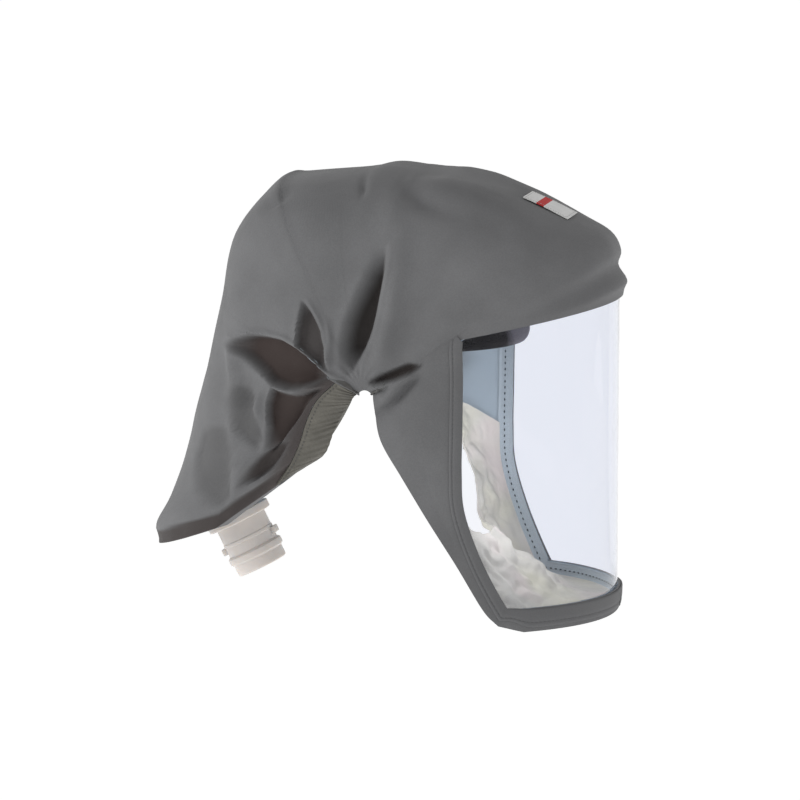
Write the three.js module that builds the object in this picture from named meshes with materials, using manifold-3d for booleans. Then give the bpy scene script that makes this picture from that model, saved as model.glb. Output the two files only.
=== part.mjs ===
// Respirator head cover: a soft hood with a clear visor, a face seal, a head harness and a hose connector.
// Units are millimetres. +X is the way the wearer faces, +Y the wearer's left, +Z up.
// The origin is the head seat: the middle of the headband, where the wearer's brow sits.

import * as THREE from 'three';
import { mergeVertices } from 'three/addons/utils/BufferGeometryUtils.js';
import Module from 'manifold-3d';

const wasm = await Module();
wasm.setup();

// Driving dimensions of the hood, measured from the ear point where the side arch gathers
const EAR_FORWARD = 3;
const EAR_DROP = 38;
const EAR_HALF_WIDTH = 108;
const FACE_REACH = 162;
const BACK_REACH = 166;
const CROWN_RISE = 145;
const CHIN_DROP = 166;
const FLAP_DROP = 130;
const GATHER_RADIUS = 5.5;
const GATHER_FORWARD = 3.5;
const GATHER_DROP = 8;

// Walls, and the small gap that sewn layers keep
const HOOD_CLOTH = 1.8;
const HEM_CLOTH = 1.2;
const VISOR_SHEET = 1.0;
const TAPE_CLOTH = 1.0;
const SEAL_CLOTH = 1.0;
const CUFF_CLOTH = 2.0;
const LABEL_CLOTH = 0.8;
const SEAM_GAP = 0.3;
const LAP_GAP = 1.0;

// Strips and laps
const HEM_WIDTH = 7;
const VISOR_LAP = 8;
const TAPE_WIDTH = 11;
const CUFF_WIDTH = 17;
const FLAP_TUCK = 22;
const LABEL_LENGTH = 34;
const LABEL_WIDTH = 27;
const LABEL_FROM_VISOR = 49;

// Head harness
const BAND_HALF_LENGTH = 98;
const BAND_HALF_WIDTH = 78;
const BAND_HEIGHT = 20;
const BAND_WALL = 2;
const BAND_LIFT = -9;
const PAD_HEIGHT = 32;
const PAD_THICKNESS = 9;
const PAD_SPREAD_ANGLE = 78;
const PAD_ABOVE_BAND = 2;
const TAB_WIDTH = 18;

// Hose connector and its duct
const CONNECTOR_TILT = 27;
const CONNECTOR_OUTER = 37;
const CONNECTOR_BORE = 29;
const CONNECTOR_LENGTH = 58;
const CONNECTOR_FROM_BACK = 76;
const CONNECTOR_BELOW_FLAP = 17;
const RING_HEIGHT = 7;
const LUG_BREADTH = 9;
const LUG_HEIGHT = 5;
const RING_PROUD = 2.5;
const FLANGE_HEIGHT = 6;
const FLANGE_PROUD = 5;
const DUCT_OUTER = 32;
const DUCT_WALL = 2;
const DUCT_STRAIGHT = 14;
const DUCT_CLEARANCE = 4.5;

// Face sections, from the chin up to the head of the visor. Each row is one line across the hood's side:
// out is its point on the centre line, side its point on the visor's edge, edge its point on the jaw.
// Numbers are [forward, rise] shares of the reach and the rise or drop from the ear point.
const FACE_SECTIONS = [
  { out: [0.995, -1.010], side: [0.680, -1.015], edge: [0.580, -0.985], rows: 2 },
  { out: [1.000, -0.916], side: [0.608, -0.919], edge: [0.519, -0.916], rows: 2 },
  { out: [1.000, -0.730], side: [0.506, -0.717], edge: [0.407, -0.723], rows: 2 },
  { out: [1.000, -0.510], side: [0.435, -0.509], edge: [0.278, -0.518], rows: 2 },
  { out: [1.000, -0.300], side: [0.423, -0.349], edge: [0.179, -0.355], rows: 2 },
  { out: [1.000, -0.090], side: [0.425, -0.169], edge: [0.096, -0.217], rows: 1 },
  { out: [1.000, 0.138], side: [0.427, 0.020], edge: [0.068, -0.108], rows: 2 },
];

// Hood sections, from the head of the visor over the crown to the hem of the back bag.
// A row without an edge ends on the gather ring at the ear; pull draws the edge in towards the neck.
const HOOD_SECTIONS = [
  { out: [1.000, 0.359], side: [0.429, 0.234], edge: [0.057, -0.036], rows: 2 },
  { out: [1.018, 0.430], side: [0.469, 0.317], edge: [0.055, -0.030], rows: 1 },
  { out: [1.000, 0.531], side: [0.480, 0.362], edge: null, rows: 1 },
  { out: [0.988, 0.607], side: [0.481, 0.400], edge: null, rows: 1 },
  { out: [0.945, 0.685], side: [0.469, 0.440], edge: null, rows: 2 },
  { out: [0.815, 0.730], side: [0.426, 0.469], edge: null, rows: 2 },
  { out: [0.605, 0.835], side: [0.340, 0.500], edge: null, rows: 2 },
  { out: [0.333, 0.928], side: [0.185, 0.520], edge: null, rows: 2 },
  { out: [0.136, 0.957], side: [0.075, 0.525], edge: null, rows: 2 },
  { out: [0.000, 0.970], side: [0.000, 0.525], edge: null, rows: 2 },
  { out: [-0.114, 0.945], side: [-0.060, 0.520], edge: null, rows: 3 },
  { out: [-0.386, 0.915], side: [-0.200, 0.500], edge: null, rows: 1 },
  { out: [-0.464, 0.893], side: [-0.240, 0.480], edge: null, rows: 3 },
  { out: [-0.628, 0.664], side: [-0.330, 0.360], edge: null, rows: 3 },
  { out: [-0.693, 0.345], side: [-0.370, 0.190], edge: null, rows: 3 },
  { out: [-0.737, 0.110], side: [-0.400, 0.065], edge: [-0.075, 0.028], pull: 0.02, rows: 3 },
  { out: [-0.784, -0.092], side: [-0.430, -0.060], edge: [-0.135, -0.020], pull: 0.05, rows: 2 },
  { out: [-0.820, -0.246], side: [-0.470, -0.190], edge: [-0.195, -0.100], pull: 0.08, rows: 2 },
  { out: [-0.860, -0.477], side: [-0.510, -0.360], edge: [-0.240, -0.215], pull: 0.12, rows: 2 },
  { out: [-0.935, -0.731], side: [-0.570, -0.570], edge: [-0.275, -0.335], pull: 0.16, rows: 2 },
  { out: [-1.006, -0.892], side: [-0.620, -0.720], edge: [-0.325, -0.460], pull: 0.20, rows: 1 },
  { out: [-1.000, -1.000], side: [-0.640, -0.810], edge: [-0.385, -0.575], pull: 0.22, rows: 1 },
];

// Roundness of the section across the head, by direction from the ear point: 2 is an ellipse, more is boxier
const ROUNDNESS = [
  { angle: -60, power: 2.2 },
  { angle: 15, power: 2.2 },
  { angle: 45, power: 3.0 },
  { angle: 110, power: 3.0 },
  { angle: 150, power: 2.6 },
  { angle: 190, power: 2.4 },
  { angle: 240, power: 2.0 },
];

// Creases and ridges of the side, each a run of [forward, rise] shares with its half width and its height.
// A height above nought stands out, below nought is a valley; both are shares of the crown's rise.
const CREASES = [
  { run: [[-0.58, 0.14], [-0.34, 0.10], [-0.10, 0.02]], width: 0.062, height: -0.105 },
  { run: [[-0.47, 0.24], [-0.28, 0.20], [-0.18, 0.08]], width: 0.038, height: 0.040 },
  { run: [[-0.50, 0.03], [-0.38, -0.06], [-0.20, -0.04]], width: 0.042, height: 0.050 },
  { run: [[-0.24, 0.38], [-0.22, 0.16], [-0.10, 0.05]], width: 0.045, height: -0.075 },
  { run: [[-0.13, 0.30], [-0.155, 0.16], [-0.10, 0.09]], width: 0.030, height: 0.038 },
  { run: [[0.08, 0.66], [0.055, 0.36], [-0.02, 0.06]], width: 0.048, height: -0.085 },
  { run: [[0.13, 0.66], [0.135, 0.30], [0.04, 0.07]], width: 0.055, height: 0.050 },
  { run: [[0.25, 0.10], [0.13, 0.075], [0.04, 0.03]], width: 0.030, height: -0.050 },
  { run: [[0.27, 0.06], [0.17, 0.03], [0.06, 0.00]], width: 0.026, height: 0.030 },
  { run: [[0.24, 0.00], [0.15, -0.09], [0.06, -0.10]], width: 0.045, height: -0.030 },
  { run: [[-0.37, -0.10], [-0.31, -0.18], [-0.22, -0.24]], width: 0.060, height: -0.060 },
  { run: [[-0.44, -0.04], [-0.46, -0.22], [-0.44, -0.34]], width: 0.036, height: 0.035 },
  { run: [[-0.44, -0.48], [-0.39, -0.42], [-0.33, -0.34]], width: 0.055, height: -0.060 },
  { run: [[-0.49, -0.44], [-0.51, -0.54], [-0.51, -0.62]], width: 0.040, height: 0.035 },
  { run: [[-0.58, 0.16], [-0.535, -0.09], [-0.52, -0.40], [-0.60, -0.64]], width: 0.075, height: 0.060 },
  { run: [[0.51, 0.42], [0.40, 0.31], [0.28, 0.18]], width: 0.070, height: 0.030 },
  { run: [[-0.46, 0.79], [-0.38, 0.84], [-0.30, 0.90]], width: 0.040, height: -0.030 },
  { run: [[0.16, 0.96], [0.40, 0.90], [0.65, 0.79]], width: 0.045, height: 0.022 },
  { run: [[0.18, 0.90], [0.24, 0.88], [0.37, 0.82]], width: 0.035, height: -0.022 },
];

// Colours from the photograph
const finish = (color, roughness, metalness = 0, opacity = 1) =>
  new THREE.MeshStandardMaterial({ color, roughness, metalness, opacity, transparent: opacity < 1 });

const hoodCloth = finish(0x646566, 0.72);
const hemCloth = finish(0x55565a, 0.75);
const clearSheet = finish(0xe4e7f2, 0.05, 0, 0.3);
const blueTape = finish(0x9ca6ae, 0.8);
const creamCloth = finish(0xc6c2b8, 0.9);
const blackPad = finish(0x1c1a1c, 0.9);
const darkPlastic = finish(0x2c2c2e, 0.5);
const milkyPlastic = finish(0xc0b8b0, 0.4);
const cuffCloth = finish(0x5c5a52, 0.8);
const whiteLabel = finish(0xe8e6e4, 0.7);

// Small maths on [x, y] and [x, y, z] lists
const lerp = (a, b, t) => a + (b - a) * t;
const clamp = (value, low, high) => Math.min(Math.max(value, low), high);
const mix = (a, b, t) => a.map((value, k) => lerp(value, b[k], t));
const plus = (a, b, scale = 1) => a.map((value, k) => value + b[k] * scale);
const minus = (a, b) => a.map((value, k) => value - b[k]);
const size = (a) => Math.hypot(...a);
const unit = (a) => a.map((value) => value / (size(a) || 1));
const cross = (a, b) => [
  a[1] * b[2] - a[2] * b[1],
  a[2] * b[0] - a[0] * b[2],
  a[0] * b[1] - a[1] * b[0],
];
const easeInOut = (t) => t * t * (3 - 2 * t);

// A point of the side view, in millimetres from the ear point, from its two shares
function sideSpot([forward, rise]) {
  const reach = forward > 0 ? FACE_REACH : BACK_REACH;
  const drop = forward > 0 ? CHIN_DROP : FLAP_DROP;
  return [forward * reach, rise * (rise > 0 ? CROWN_RISE : drop)];
}

// Smooth value between the rows of a list of equal-length number lists, at a place along it
function alongRows(list, place) {
  const last = list.length - 1;
  const at = clamp(Math.floor(place), 0, last - 1);
  const t = place - at;
  const b = list[at];
  const c = list[at + 1];
  const a = at > 0 ? list[at - 1] : mix(c, b, 2);
  const d = at + 2 <= last ? list[at + 2] : mix(b, c, 2);
  return b.map((value, k) => 0.5 * (2 * value + (c[k] - a[k]) * t
    + (2 * a[k] - 5 * value + 4 * c[k] - d[k]) * t * t
    + (3 * value - a[k] - 3 * c[k] + d[k]) * t * t * t));
}

const SECTIONS = [...FACE_SECTIONS, ...HOOD_SECTIONS];
const HEAD_ROW = FACE_SECTIONS.length;
const FOOT_ROW = 1;
const LAST_ROW = SECTIONS.length - 1;
const outList = SECTIONS.map((row) => sideSpot(row.out));
const sideList = SECTIONS.map((row) => sideSpot(row.side));
const pullList = SECTIONS.map((row) => [(row.pull ?? 0) * EAR_HALF_WIDTH]);
const edgeList = SECTIONS.map((row) => {
  if (row.edge) return sideSpot(row.edge);
  const out = sideSpot(row.out);
  return plus([GATHER_FORWARD, -GATHER_DROP], unit(out), GATHER_RADIUS);
});

// The centre line of the hood as a fine run, carried on past the chin and the hem of the bag to a far floor
const OUTLINE_STEPS = 8;
const FAR_FLOOR = { back: 1.05, drops: 8 };
const BELOW_HEM = { back: 1.03, drops: 1.3 };
const farBack = [-BACK_REACH * FAR_FLOOR.back, -FAR_FLOOR.drops * FLAP_DROP];
const outline = [farBack, [outList[0][0], -FAR_FLOOR.drops * CHIN_DROP]];
for (let step = 0; step <= LAST_ROW * OUTLINE_STEPS; step += 1) {
  outline.push(alongRows(outList, step / OUTLINE_STEPS));
}
outline.push([-BACK_REACH * BELOW_HEM.back, -FLAP_DROP * BELOW_HEM.drops]);
outline.push(farBack);

// How far the centre line lies from the ear point in the direction of a side-view point
function reachTowards([x, z]) {
  let best = 0;
  for (let k = 0; k + 1 < outline.length; k += 1) {
    const [ax, az] = outline[k];
    const [bx, bz] = [outline[k + 1][0] - ax, outline[k + 1][1] - az];
    const turn = x * bz - z * bx;
    const t = (z * ax - x * az) / turn;
    const reach = (ax * bz - az * bx) / turn;
    if (t >= -1e-6 && t <= 1 + 1e-6 && reach > best) best = reach;
  }
  return best * Math.hypot(x, z);
}

function roundnessTowards([x, z]) {
  let angle = THREE.MathUtils.radToDeg(Math.atan2(z, x));
  if (angle < -90) angle += 360;
  for (let k = 0; k + 1 < ROUNDNESS.length; k += 1) {
    const next = ROUNDNESS[k + 1];
    if (angle <= next.angle) {
      const t = clamp((angle - ROUNDNESS[k].angle) / (next.angle - ROUNDNESS[k].angle), 0, 1);
      return lerp(ROUNDNESS[k].power, next.power, t);
    }
  }
  return ROUNDNESS[ROUNDNESS.length - 1].power;
}

// Reach evened out over nearby directions, for the sides, where the corners of the centre line fade away
const EVEN_SPREAD = 24;
const EVEN_STEP = 6;
const EVEN_TURN = 2;
const FADE_POWER = 5;
const CROWN_ANGLES = { start: 0, full: 26, easeOff: 175, end: 200 };
const directionAt = (angle) => [Math.cos(angle * Math.PI / 180), Math.sin(angle * Math.PI / 180)];
const evenReaches = [];
for (let angle = CROWN_ANGLES.start; angle <= CROWN_ANGLES.end; angle += EVEN_TURN) {
  let sum = 0;
  let weights = 0;
  for (let turn = -EVEN_SPREAD; turn <= EVEN_SPREAD; turn += EVEN_STEP) {
    const weight = 1 + Math.cos(Math.PI * turn / (EVEN_SPREAD + EVEN_STEP));
    sum += weight * reachTowards(directionAt(angle + turn));
    weights += weight;
  }
  evenReaches.push([sum / weights]);
}

// Share of the centre line's reach at a side-view point: 0 at the ear point, 1 on the centre line
function openShare(spot) {
  const away = Math.hypot(...spot);
  if (away < 1e-6) return 0;
  const reach = reachTowards(spot);
  let angle = THREE.MathUtils.radToDeg(Math.atan2(spot[1], spot[0]));
  if (angle < -90) angle += 360;
  const { start, full, easeOff, end } = CROWN_ANGLES;
  if (angle <= start || angle >= end) return away / reach;
  const rise = easeInOut(clamp((angle - start) / (full - start), 0, 1));
  const fall = easeInOut(clamp((end - angle) / (end - easeOff), 0, 1));
  const inner = 1 - Math.pow(Math.min(away / reach, 1), FADE_POWER);
  const even = alongRows(evenReaches, (angle - start) / EVEN_TURN)[0];
  return away / lerp(reach, even, rise * fall * inner);
}
const reachShare = (spot) => clamp(openShare(spot), 0, 1);

// Half width of the hood at a side-view point
function halfWidth(spot) {
  const power = roundnessTowards(spot);
  return EAR_HALF_WIDTH * Math.pow(Math.max(1 - Math.pow(reachShare(spot), power), 0), 1 / power);
}

// Points across one section, from the edge at the ear or jaw, by the visor's side, to the centre line
const EDGE_COLUMNS = 10;
const FACE_COLUMNS = 6;
const COLUMNS = EDGE_COLUMNS + FACE_COLUMNS;

// Side-view point of a section between two of its own points, spaced so that the surface is spaced evenly
const SPACING_POWER = 2.3;
function acrossSection(from, to, t) {
  const power = SPACING_POWER;
  const turnAt = (spot) => Math.acos(clamp(Math.pow(reachShare(spot), power / 2), 0, 1));
  const shareFrom = reachShare(from);
  const shareTo = reachShare(to);
  const turn = lerp(turnAt(from), turnAt(to), t);
  const share = Math.pow(Math.cos(turn), 2 / power);
  const even = Math.abs(shareTo - shareFrom) < 1e-6 ? t : (share - shareFrom) / (shareTo - shareFrom);
  return mix(from, to, clamp(even, 0, 1));
}

function sectionSpot(place, across) {
  const out = alongRows(outList, place);
  const side = alongRows(sideList, place);
  const edge = alongRows(edgeList, place);
  const turn = EDGE_COLUMNS / COLUMNS;
  return across < turn
    ? acrossSection(edge, side, across / turn)
    : acrossSection(side, out, (across - turn) / (1 - turn));
}

// Height of the creases at a side-view point; a crease keeps this share of its height at its ends
const CREASE_END = 0.35;
function creaseHeight([x, z]) {
  let height = 0;
  for (const crease of CREASES) {
    const run = crease.run.map(sideSpot);
    const width = crease.width * CROWN_RISE;
    let nearest = Infinity;
    let place = 0;
    for (let k = 0; k + 1 < run.length; k += 1) {
      const step = minus(run[k + 1], run[k]);
      const t = clamp(((x - run[k][0]) * step[0] + (z - run[k][1]) * step[1]) / (size(step) ** 2), 0, 1);
      const away = Math.hypot(x - run[k][0] - step[0] * t, z - run[k][1] - step[1] * t);
      if (away < nearest) {
        nearest = away;
        place = (k + t) / (run.length - 1);
      }
    }
    const fade = lerp(CREASE_END, 1, Math.sin(Math.PI * clamp(place, 0, 1)));
    height += crease.height * CROWN_RISE * fade * Math.exp(-((nearest / width) ** 2));
  }
  return height;
}

// Small pleats that fan out of the elastic at the ear
const PLEATS = 7;
const PLEAT_HEIGHT = 1.6;
const PLEAT_REACH = 26;
function pleatHeight([x, z]) {
  const away = Math.hypot(x, z);
  const near = clamp(away / GATHER_RADIUS - 1, 0, 1) * Math.exp(-((away / PLEAT_REACH) ** 2));
  return PLEAT_HEIGHT * near * Math.cos(2 * PLEATS * Math.atan2(z, x));
}

// Smooth base surface of the hood, before its folds: side is -1 on the wearer's right, +1 on the left
const EAR_DIMPLE = 7;
const DIMPLE_REACH = 30;
function basePoint(spot, side, pull = 0) {
  const dimple = EAR_DIMPLE * Math.exp(-((Math.hypot(...spot) / DIMPLE_REACH) ** 2));
  const half = Math.max(halfWidth(spot) - pull - dimple * (1 - reachShare(spot)), 0);
  return [EAR_FORWARD + spot[0], side * half, spot[1] - EAR_DROP];
}

// Outward direction of the base surface at a side-view point
function baseNormal(spot, side) {
  const nudge = 0.25;
  const share = reachShare(spot);
  const shareAt = (x, z) => openShare([x, z]);
  const slopeX = (shareAt(spot[0] + nudge, spot[1]) - shareAt(spot[0] - nudge, spot[1])) / (2 * nudge);
  const slopeZ = (shareAt(spot[0], spot[1] + nudge) - shareAt(spot[0], spot[1] - nudge)) / (2 * nudge);
  const power = roundnessTowards(spot);
  const along = Math.pow(share, power - 1);
  const over = Math.pow(halfWidth(spot) / EAR_HALF_WIDTH, power - 1) / EAR_HALF_WIDTH;
  return unit([along * slopeX, side * over, along * slopeZ]);
}

// Point of the base surface moved out by lift, or in where lift is below nought
const liftedPoint = (spot, side, lift) => plus(basePoint(spot, side), baseNormal(spot, side), lift);

// Grids of points. A grid is a list of rows, a row a list of [x, y, z] points.
function gridNormals(grid) {
  const rows = grid.length;
  const columns = grid[0].length;
  return grid.map((row, j) => row.map((_, i) => {
    const up = minus(grid[Math.min(j + 1, rows - 1)][i], grid[Math.max(j - 1, 0)][i]);
    const over = minus(grid[j][Math.min(i + 1, columns - 1)], grid[j][Math.max(i - 1, 0)]);
    return unit(cross(over, up));
  }));
}

// A closed sheet from its outer grid: the inner face lies one wall in, and every free edge is closed
function thickSheet(outer, wall, keep = () => true) {
  return solidSheet(outer, gridNormals(outer), wall, keep, false);
}

// The same for a ring: each row of the grid closes on itself
function closedLoopSheet(outer, wall) {
  const wrapped = outer.map((row) => [row[row.length - 1], ...row, row[0]]);
  const normals = gridNormals(wrapped).map((row) => row.slice(1, -1));
  return solidSheet(outer, normals, wall, () => true, true);
}

function solidSheet(outer, normals, wall, keep, loop) {
  const rows = outer.length;
  const columns = outer[0].length;
  const positions = [];
  const index = [];
  outer.forEach((row) => row.forEach((point) => positions.push(...point)));
  outer.forEach((row, j) => row.forEach((point, i) => {
    positions.push(...plus(point, normals[j][i], -wall));
  }));
  const count = rows * columns;
  const cells = loop ? columns : columns - 1;
  const at = (j, i, inner) => j * columns + (i % columns) + (inner ? count : 0);
  const inside = (j, i) => j >= 0 && j < rows - 1 && (loop || (i >= 0 && i < cells));
  const kept = (j, i) => inside(j, i) && keep(j, i);
  const spotAt = (k) => positions.slice(3 * k, 3 * k + 3);
  const facing = (a, b, c) => unit(cross(minus(spotAt(b), spotAt(a)), minus(spotAt(c), spotAt(a))));
  const bend = (one, two) => one[0] * two[0] + one[1] * two[1] + one[2] * two[2];
  const quad = (a, b, c, d, turned = false) => {
    if (turned) index.push(b, c, d, b, d, a);
    else index.push(a, b, c, a, c, d);
  };
  const flatterTurned = (a, b, c, d) => bend(facing(a, b, c), facing(a, c, d))
    < bend(facing(b, c, d), facing(b, d, a)) - 1e-6;
  for (let j = 0; j < rows - 1; j += 1) {
    for (let i = 0; i < cells; i += 1) {
      if (!kept(j, i)) continue;
      const turned = flatterTurned(at(j, i), at(j, i + 1), at(j + 1, i + 1), at(j + 1, i));
      quad(at(j, i), at(j, i + 1), at(j + 1, i + 1), at(j + 1, i), turned);
      quad(at(j, i, 1), at(j + 1, i, 1), at(j + 1, i + 1, 1), at(j, i + 1, 1), turned);
      if (!kept(j - 1, i)) quad(at(j, i), at(j, i, 1), at(j, i + 1, 1), at(j, i + 1));
      if (!kept(j + 1, i)) quad(at(j + 1, i + 1), at(j + 1, i + 1, 1), at(j + 1, i, 1), at(j + 1, i));
      if (!kept(j, i - 1)) quad(at(j + 1, i), at(j + 1, i, 1), at(j, i, 1), at(j, i));
      if (!kept(j, i + 1)) quad(at(j, i + 1), at(j, i + 1, 1), at(j + 1, i + 1, 1), at(j + 1, i + 1));
    }
  }
  const used = new Map();
  const list = [];
  const packed = index.map((k) => {
    if (!used.has(k)) {
      used.set(k, list.length / 3);
      list.push(positions[3 * k], positions[3 * k + 1], positions[3 * k + 2]);
    }
    return used.get(k);
  });
  const geometry = new THREE.BufferGeometry();
  geometry.setAttribute('position', new THREE.Float32BufferAttribute(list, 3));
  geometry.setIndex(packed);
  return geometry;
}

// Hood shell: every section from the right edge over the centre line to the left edge
const rowPlaces = [];
SECTIONS.forEach((row, k) => {
  for (let step = 0; step < row.rows && k < LAST_ROW; step += 1) rowPlaces.push(k + step / row.rows);
});
rowPlaces.push(LAST_ROW);
const FOOT_INDEX = rowPlaces.indexOf(FOOT_ROW);
const HEAD_INDEX = rowPlaces.indexOf(HEAD_ROW);

// The hood's outer surface at a section and a share across it
const LEFT_CALM = 0.85;
const CUFF_TOP_PLACE = SECTIONS.findIndex((row) => row.pull);
const CUFF_EDGE_SHARE = 0.12;
const FACE_CALM = { rows: 1.5, from: 0.25, over: 0.2 };
const CENTRE_FADE = 0.06;
function hoodSurface(place, across, side) {
  const spot = sectionSpot(place, across);
  const pull = alongRows(pullList, place)[0] * (1 - across) ** 2;
  return basePoint(spot, side, pull);
}

function hoodPoint(place, across, side) {
  const spot = sectionSpot(place, across);
  const inFace = clamp((HEAD_ROW + 1 - place) / FACE_CALM.rows, 0, 1);
  const onFace = inFace * clamp((across - FACE_CALM.from) / FACE_CALM.over, 0, 1);
  const calm = (1 - onFace) * (side > 0 ? LEFT_CALM : 1);
  const centre = clamp((1 - across) / CENTRE_FADE, 0, 1);
  const atCuff = clamp(place - CUFF_TOP_PLACE + 1, 0, 1);
  const sewn = 1 - atCuff * (1 - clamp(across / CUFF_EDGE_SHARE, 0, 1));
  const lift = (creaseHeight(spot) * centre + pleatHeight(spot)) * calm * sewn;
  return plus(hoodSurface(place, across, side), baseNormal(spot, side), lift);
}

function fullRow(place, point) {
  const row = [];
  for (let i = 0; i <= COLUMNS; i += 1) row.push(point(place, i / COLUMNS, -1));
  for (let i = COLUMNS - 1; i >= 0; i -= 1) row.push(point(place, i / COLUMNS, 1));
  return row;
}

// Rows past the hem turn under towards the neck
const TUCK_ROWS = [
  { share: 0.10, drop: 0.018 },
  { share: 0.45, drop: 0.020 },
  { share: 1.00, drop: -0.040 },
];

// At its ends the tuck keeps these shares of its depth and its drop; dip is how much it lifts as it goes in
const TUCK = { endDepth: 0.3, endDrop: 0.4, narrowing: 0.18, dip: 0.25 };
function tuckedPoint(hem, across, { share, drop }) {
  const depth = FLAP_TUCK * lerp(TUCK.endDepth, 1, across) * share;
  const inwards = hem[1] * (1 - TUCK.narrowing * share);
  const fall = drop * FLAP_DROP * lerp(TUCK.endDrop, 1, across);
  return [hem[0] + depth, inwards, hem[2] - fall + depth * TUCK.dip];
}

function makeHoodGrid() {
  const grid = rowPlaces.map((place) => fullRow(place, hoodPoint));
  const hem = grid[grid.length - 1];
  for (const tuck of TUCK_ROWS) {
    grid.push(hem.map((point, i) => tuckedPoint(point, 1 - Math.abs(i - COLUMNS) / COLUMNS, tuck)));
  }
  return grid;
}

const hoodGrid = makeHoodGrid();
function inWindow(j, i) {
  return j >= FOOT_INDEX && j < HEAD_INDEX && i >= EDGE_COLUMNS && i < 2 * COLUMNS - EDGE_COLUMNS;
}
const hoodShell = thickSheet(hoodGrid, HOOD_CLOTH, (j, i) => !inWindow(j, i));

// The visor's edge as a run of side-view points from the foot's middle, by the side, to the head's middle,
// each with the direction that leads away from the visor
const SIDE_SHARE = EDGE_COLUMNS / COLUMNS;
function windowEdge() {
  const places = rowPlaces.filter((place) => place >= FOOT_ROW && place <= HEAD_ROW);
  const shares = [];
  for (let i = COLUMNS; i >= EDGE_COLUMNS; i -= 1) shares.push(i / COLUMNS);
  const run = shares.map((share) => ({ spot: sectionSpot(FOOT_ROW, share), level: -1, place: FOOT_ROW }));
  places.slice(1).forEach((place) => run.push({ spot: sectionSpot(place, SIDE_SHARE), level: 0, place }));
  shares.reverse().slice(1).forEach((share) => {
    run.push({ spot: sectionSpot(HEAD_ROW, share), level: 1, place: HEAD_ROW });
  });
  const aways = run.slice(1).map((next, k) => {
    if (next.level !== 0 || run[k].level > 0) return [0, next.level];
    const step = unit(minus(next.spot, run[k].spot));
    return [-step[1], step[0]];
  });
  return run.map((point, k) => {
    const before = aways[Math.max(k - 1, 0)];
    const after = aways[Math.min(k, aways.length - 1)];
    const middle = unit(plus(before, after));
    const spread = Math.max(middle[0] * before[0] + middle[1] * before[1], 0.5);
    return { ...point, away: middle.map((value) => value / spread) };
  });
}
const windowRun = windowEdge();

// A strip beside the visor's edge: steps are distances from the edge, lift is that of its outer face
function edgeStrip(run, steps, lift, side) {
  return steps.map((step) => run.map(({ spot, away, level }, k) => {
    const corner = level < 0 && run[k + 1] && run[k + 1].level === 0;
    const distance = typeof step === 'function' ? step(level, corner) : step;
    return liftedPoint(plus(spot, away, distance), side, lift);
  }));
}

// Join the right and left halves of a strip that crosses the centre line at the start of its run
function joinHalves(right, left) {
  return right.map((row, k) => [...left[k].slice(1).reverse(), ...row]);
}
const flip = (grid) => grid.map((row) => [...row].reverse());

const HEM_STEPS = [0, 0.5, 1];
const CHIN_HEM_WIDTH = 13;
const HEM_CORNER_WIDTH = 9.5;
function makeHem() {
  const lastSide = windowRun.findLastIndex(({ level }) => level === 0);
  const run = windowRun.slice(0, lastSide + 1);
  run[lastSide] = { ...run[lastSide], away: run[lastSide - 1].away };
  const steps = HEM_STEPS.map((t) => (level, corner) => {
    if (corner) return t * HEM_CORNER_WIDTH;
    return t * (level < 0 ? CHIN_HEM_WIDTH : HEM_WIDTH);
  });
  const lift = LAP_GAP + HEM_CLOTH;
  const grid = joinHalves(edgeStrip(run, steps, lift, -1), edgeStrip(run, steps, lift, 1));
  return thickSheet(flip(grid), HEM_CLOTH);
}

// The clear sheet: its rows and columns follow the hood's own, and its rim laps behind the hood
function makeVisor() {
  const depth = -(HOOD_CLOTH + LAP_GAP);
  const places = rowPlaces.filter((place) => place >= FOOT_ROW && place <= HEAD_ROW);
  const head = places.length - 1;
  const rimAway = (j, i) => {
    if (j === 0) return windowRun[COLUMNS - i].away;
    if (j > head) return windowRun[FACE_COLUMNS + head + i - EDGE_COLUMNS].away;
    return i === EDGE_COLUMNS ? windowRun[FACE_COLUMNS + j].away : [0, 0];
  };
  const grid = [...places, HEAD_ROW].map((place, j) => fullRow(place, (at, across, side) => {
    const i = Math.max(Math.round(across * COLUMNS), EDGE_COLUMNS);
    const away = j === head && i === EDGE_COLUMNS ? windowRun[FACE_COLUMNS + head - 1].away : rimAway(j, i);
    return liftedPoint(plus(sectionSpot(at, i / COLUMNS), away, VISOR_LAP), side, depth);
  }).slice(EDGE_COLUMNS, 2 * COLUMNS - EDGE_COLUMNS + 1));
  return thickSheet(grid, VISOR_SHEET);
}

const TAPE_STEPS = [0, 0.5, 1];
const TAPE_DEPTH = HOOD_CLOTH + VISOR_SHEET + 2 * LAP_GAP;
function makeTape() {
  const steps = TAPE_STEPS.map((t) => t * TAPE_WIDTH);
  const right = edgeStrip(windowRun, steps, -TAPE_DEPTH, -1);
  const left = edgeStrip(windowRun, steps, -TAPE_DEPTH, 1);
  const loop = right.map((row, k) => [...row, ...left[k].slice(0, -1).reverse()]);
  return closedLoopSheet(loop, TAPE_CLOTH);
}

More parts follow.
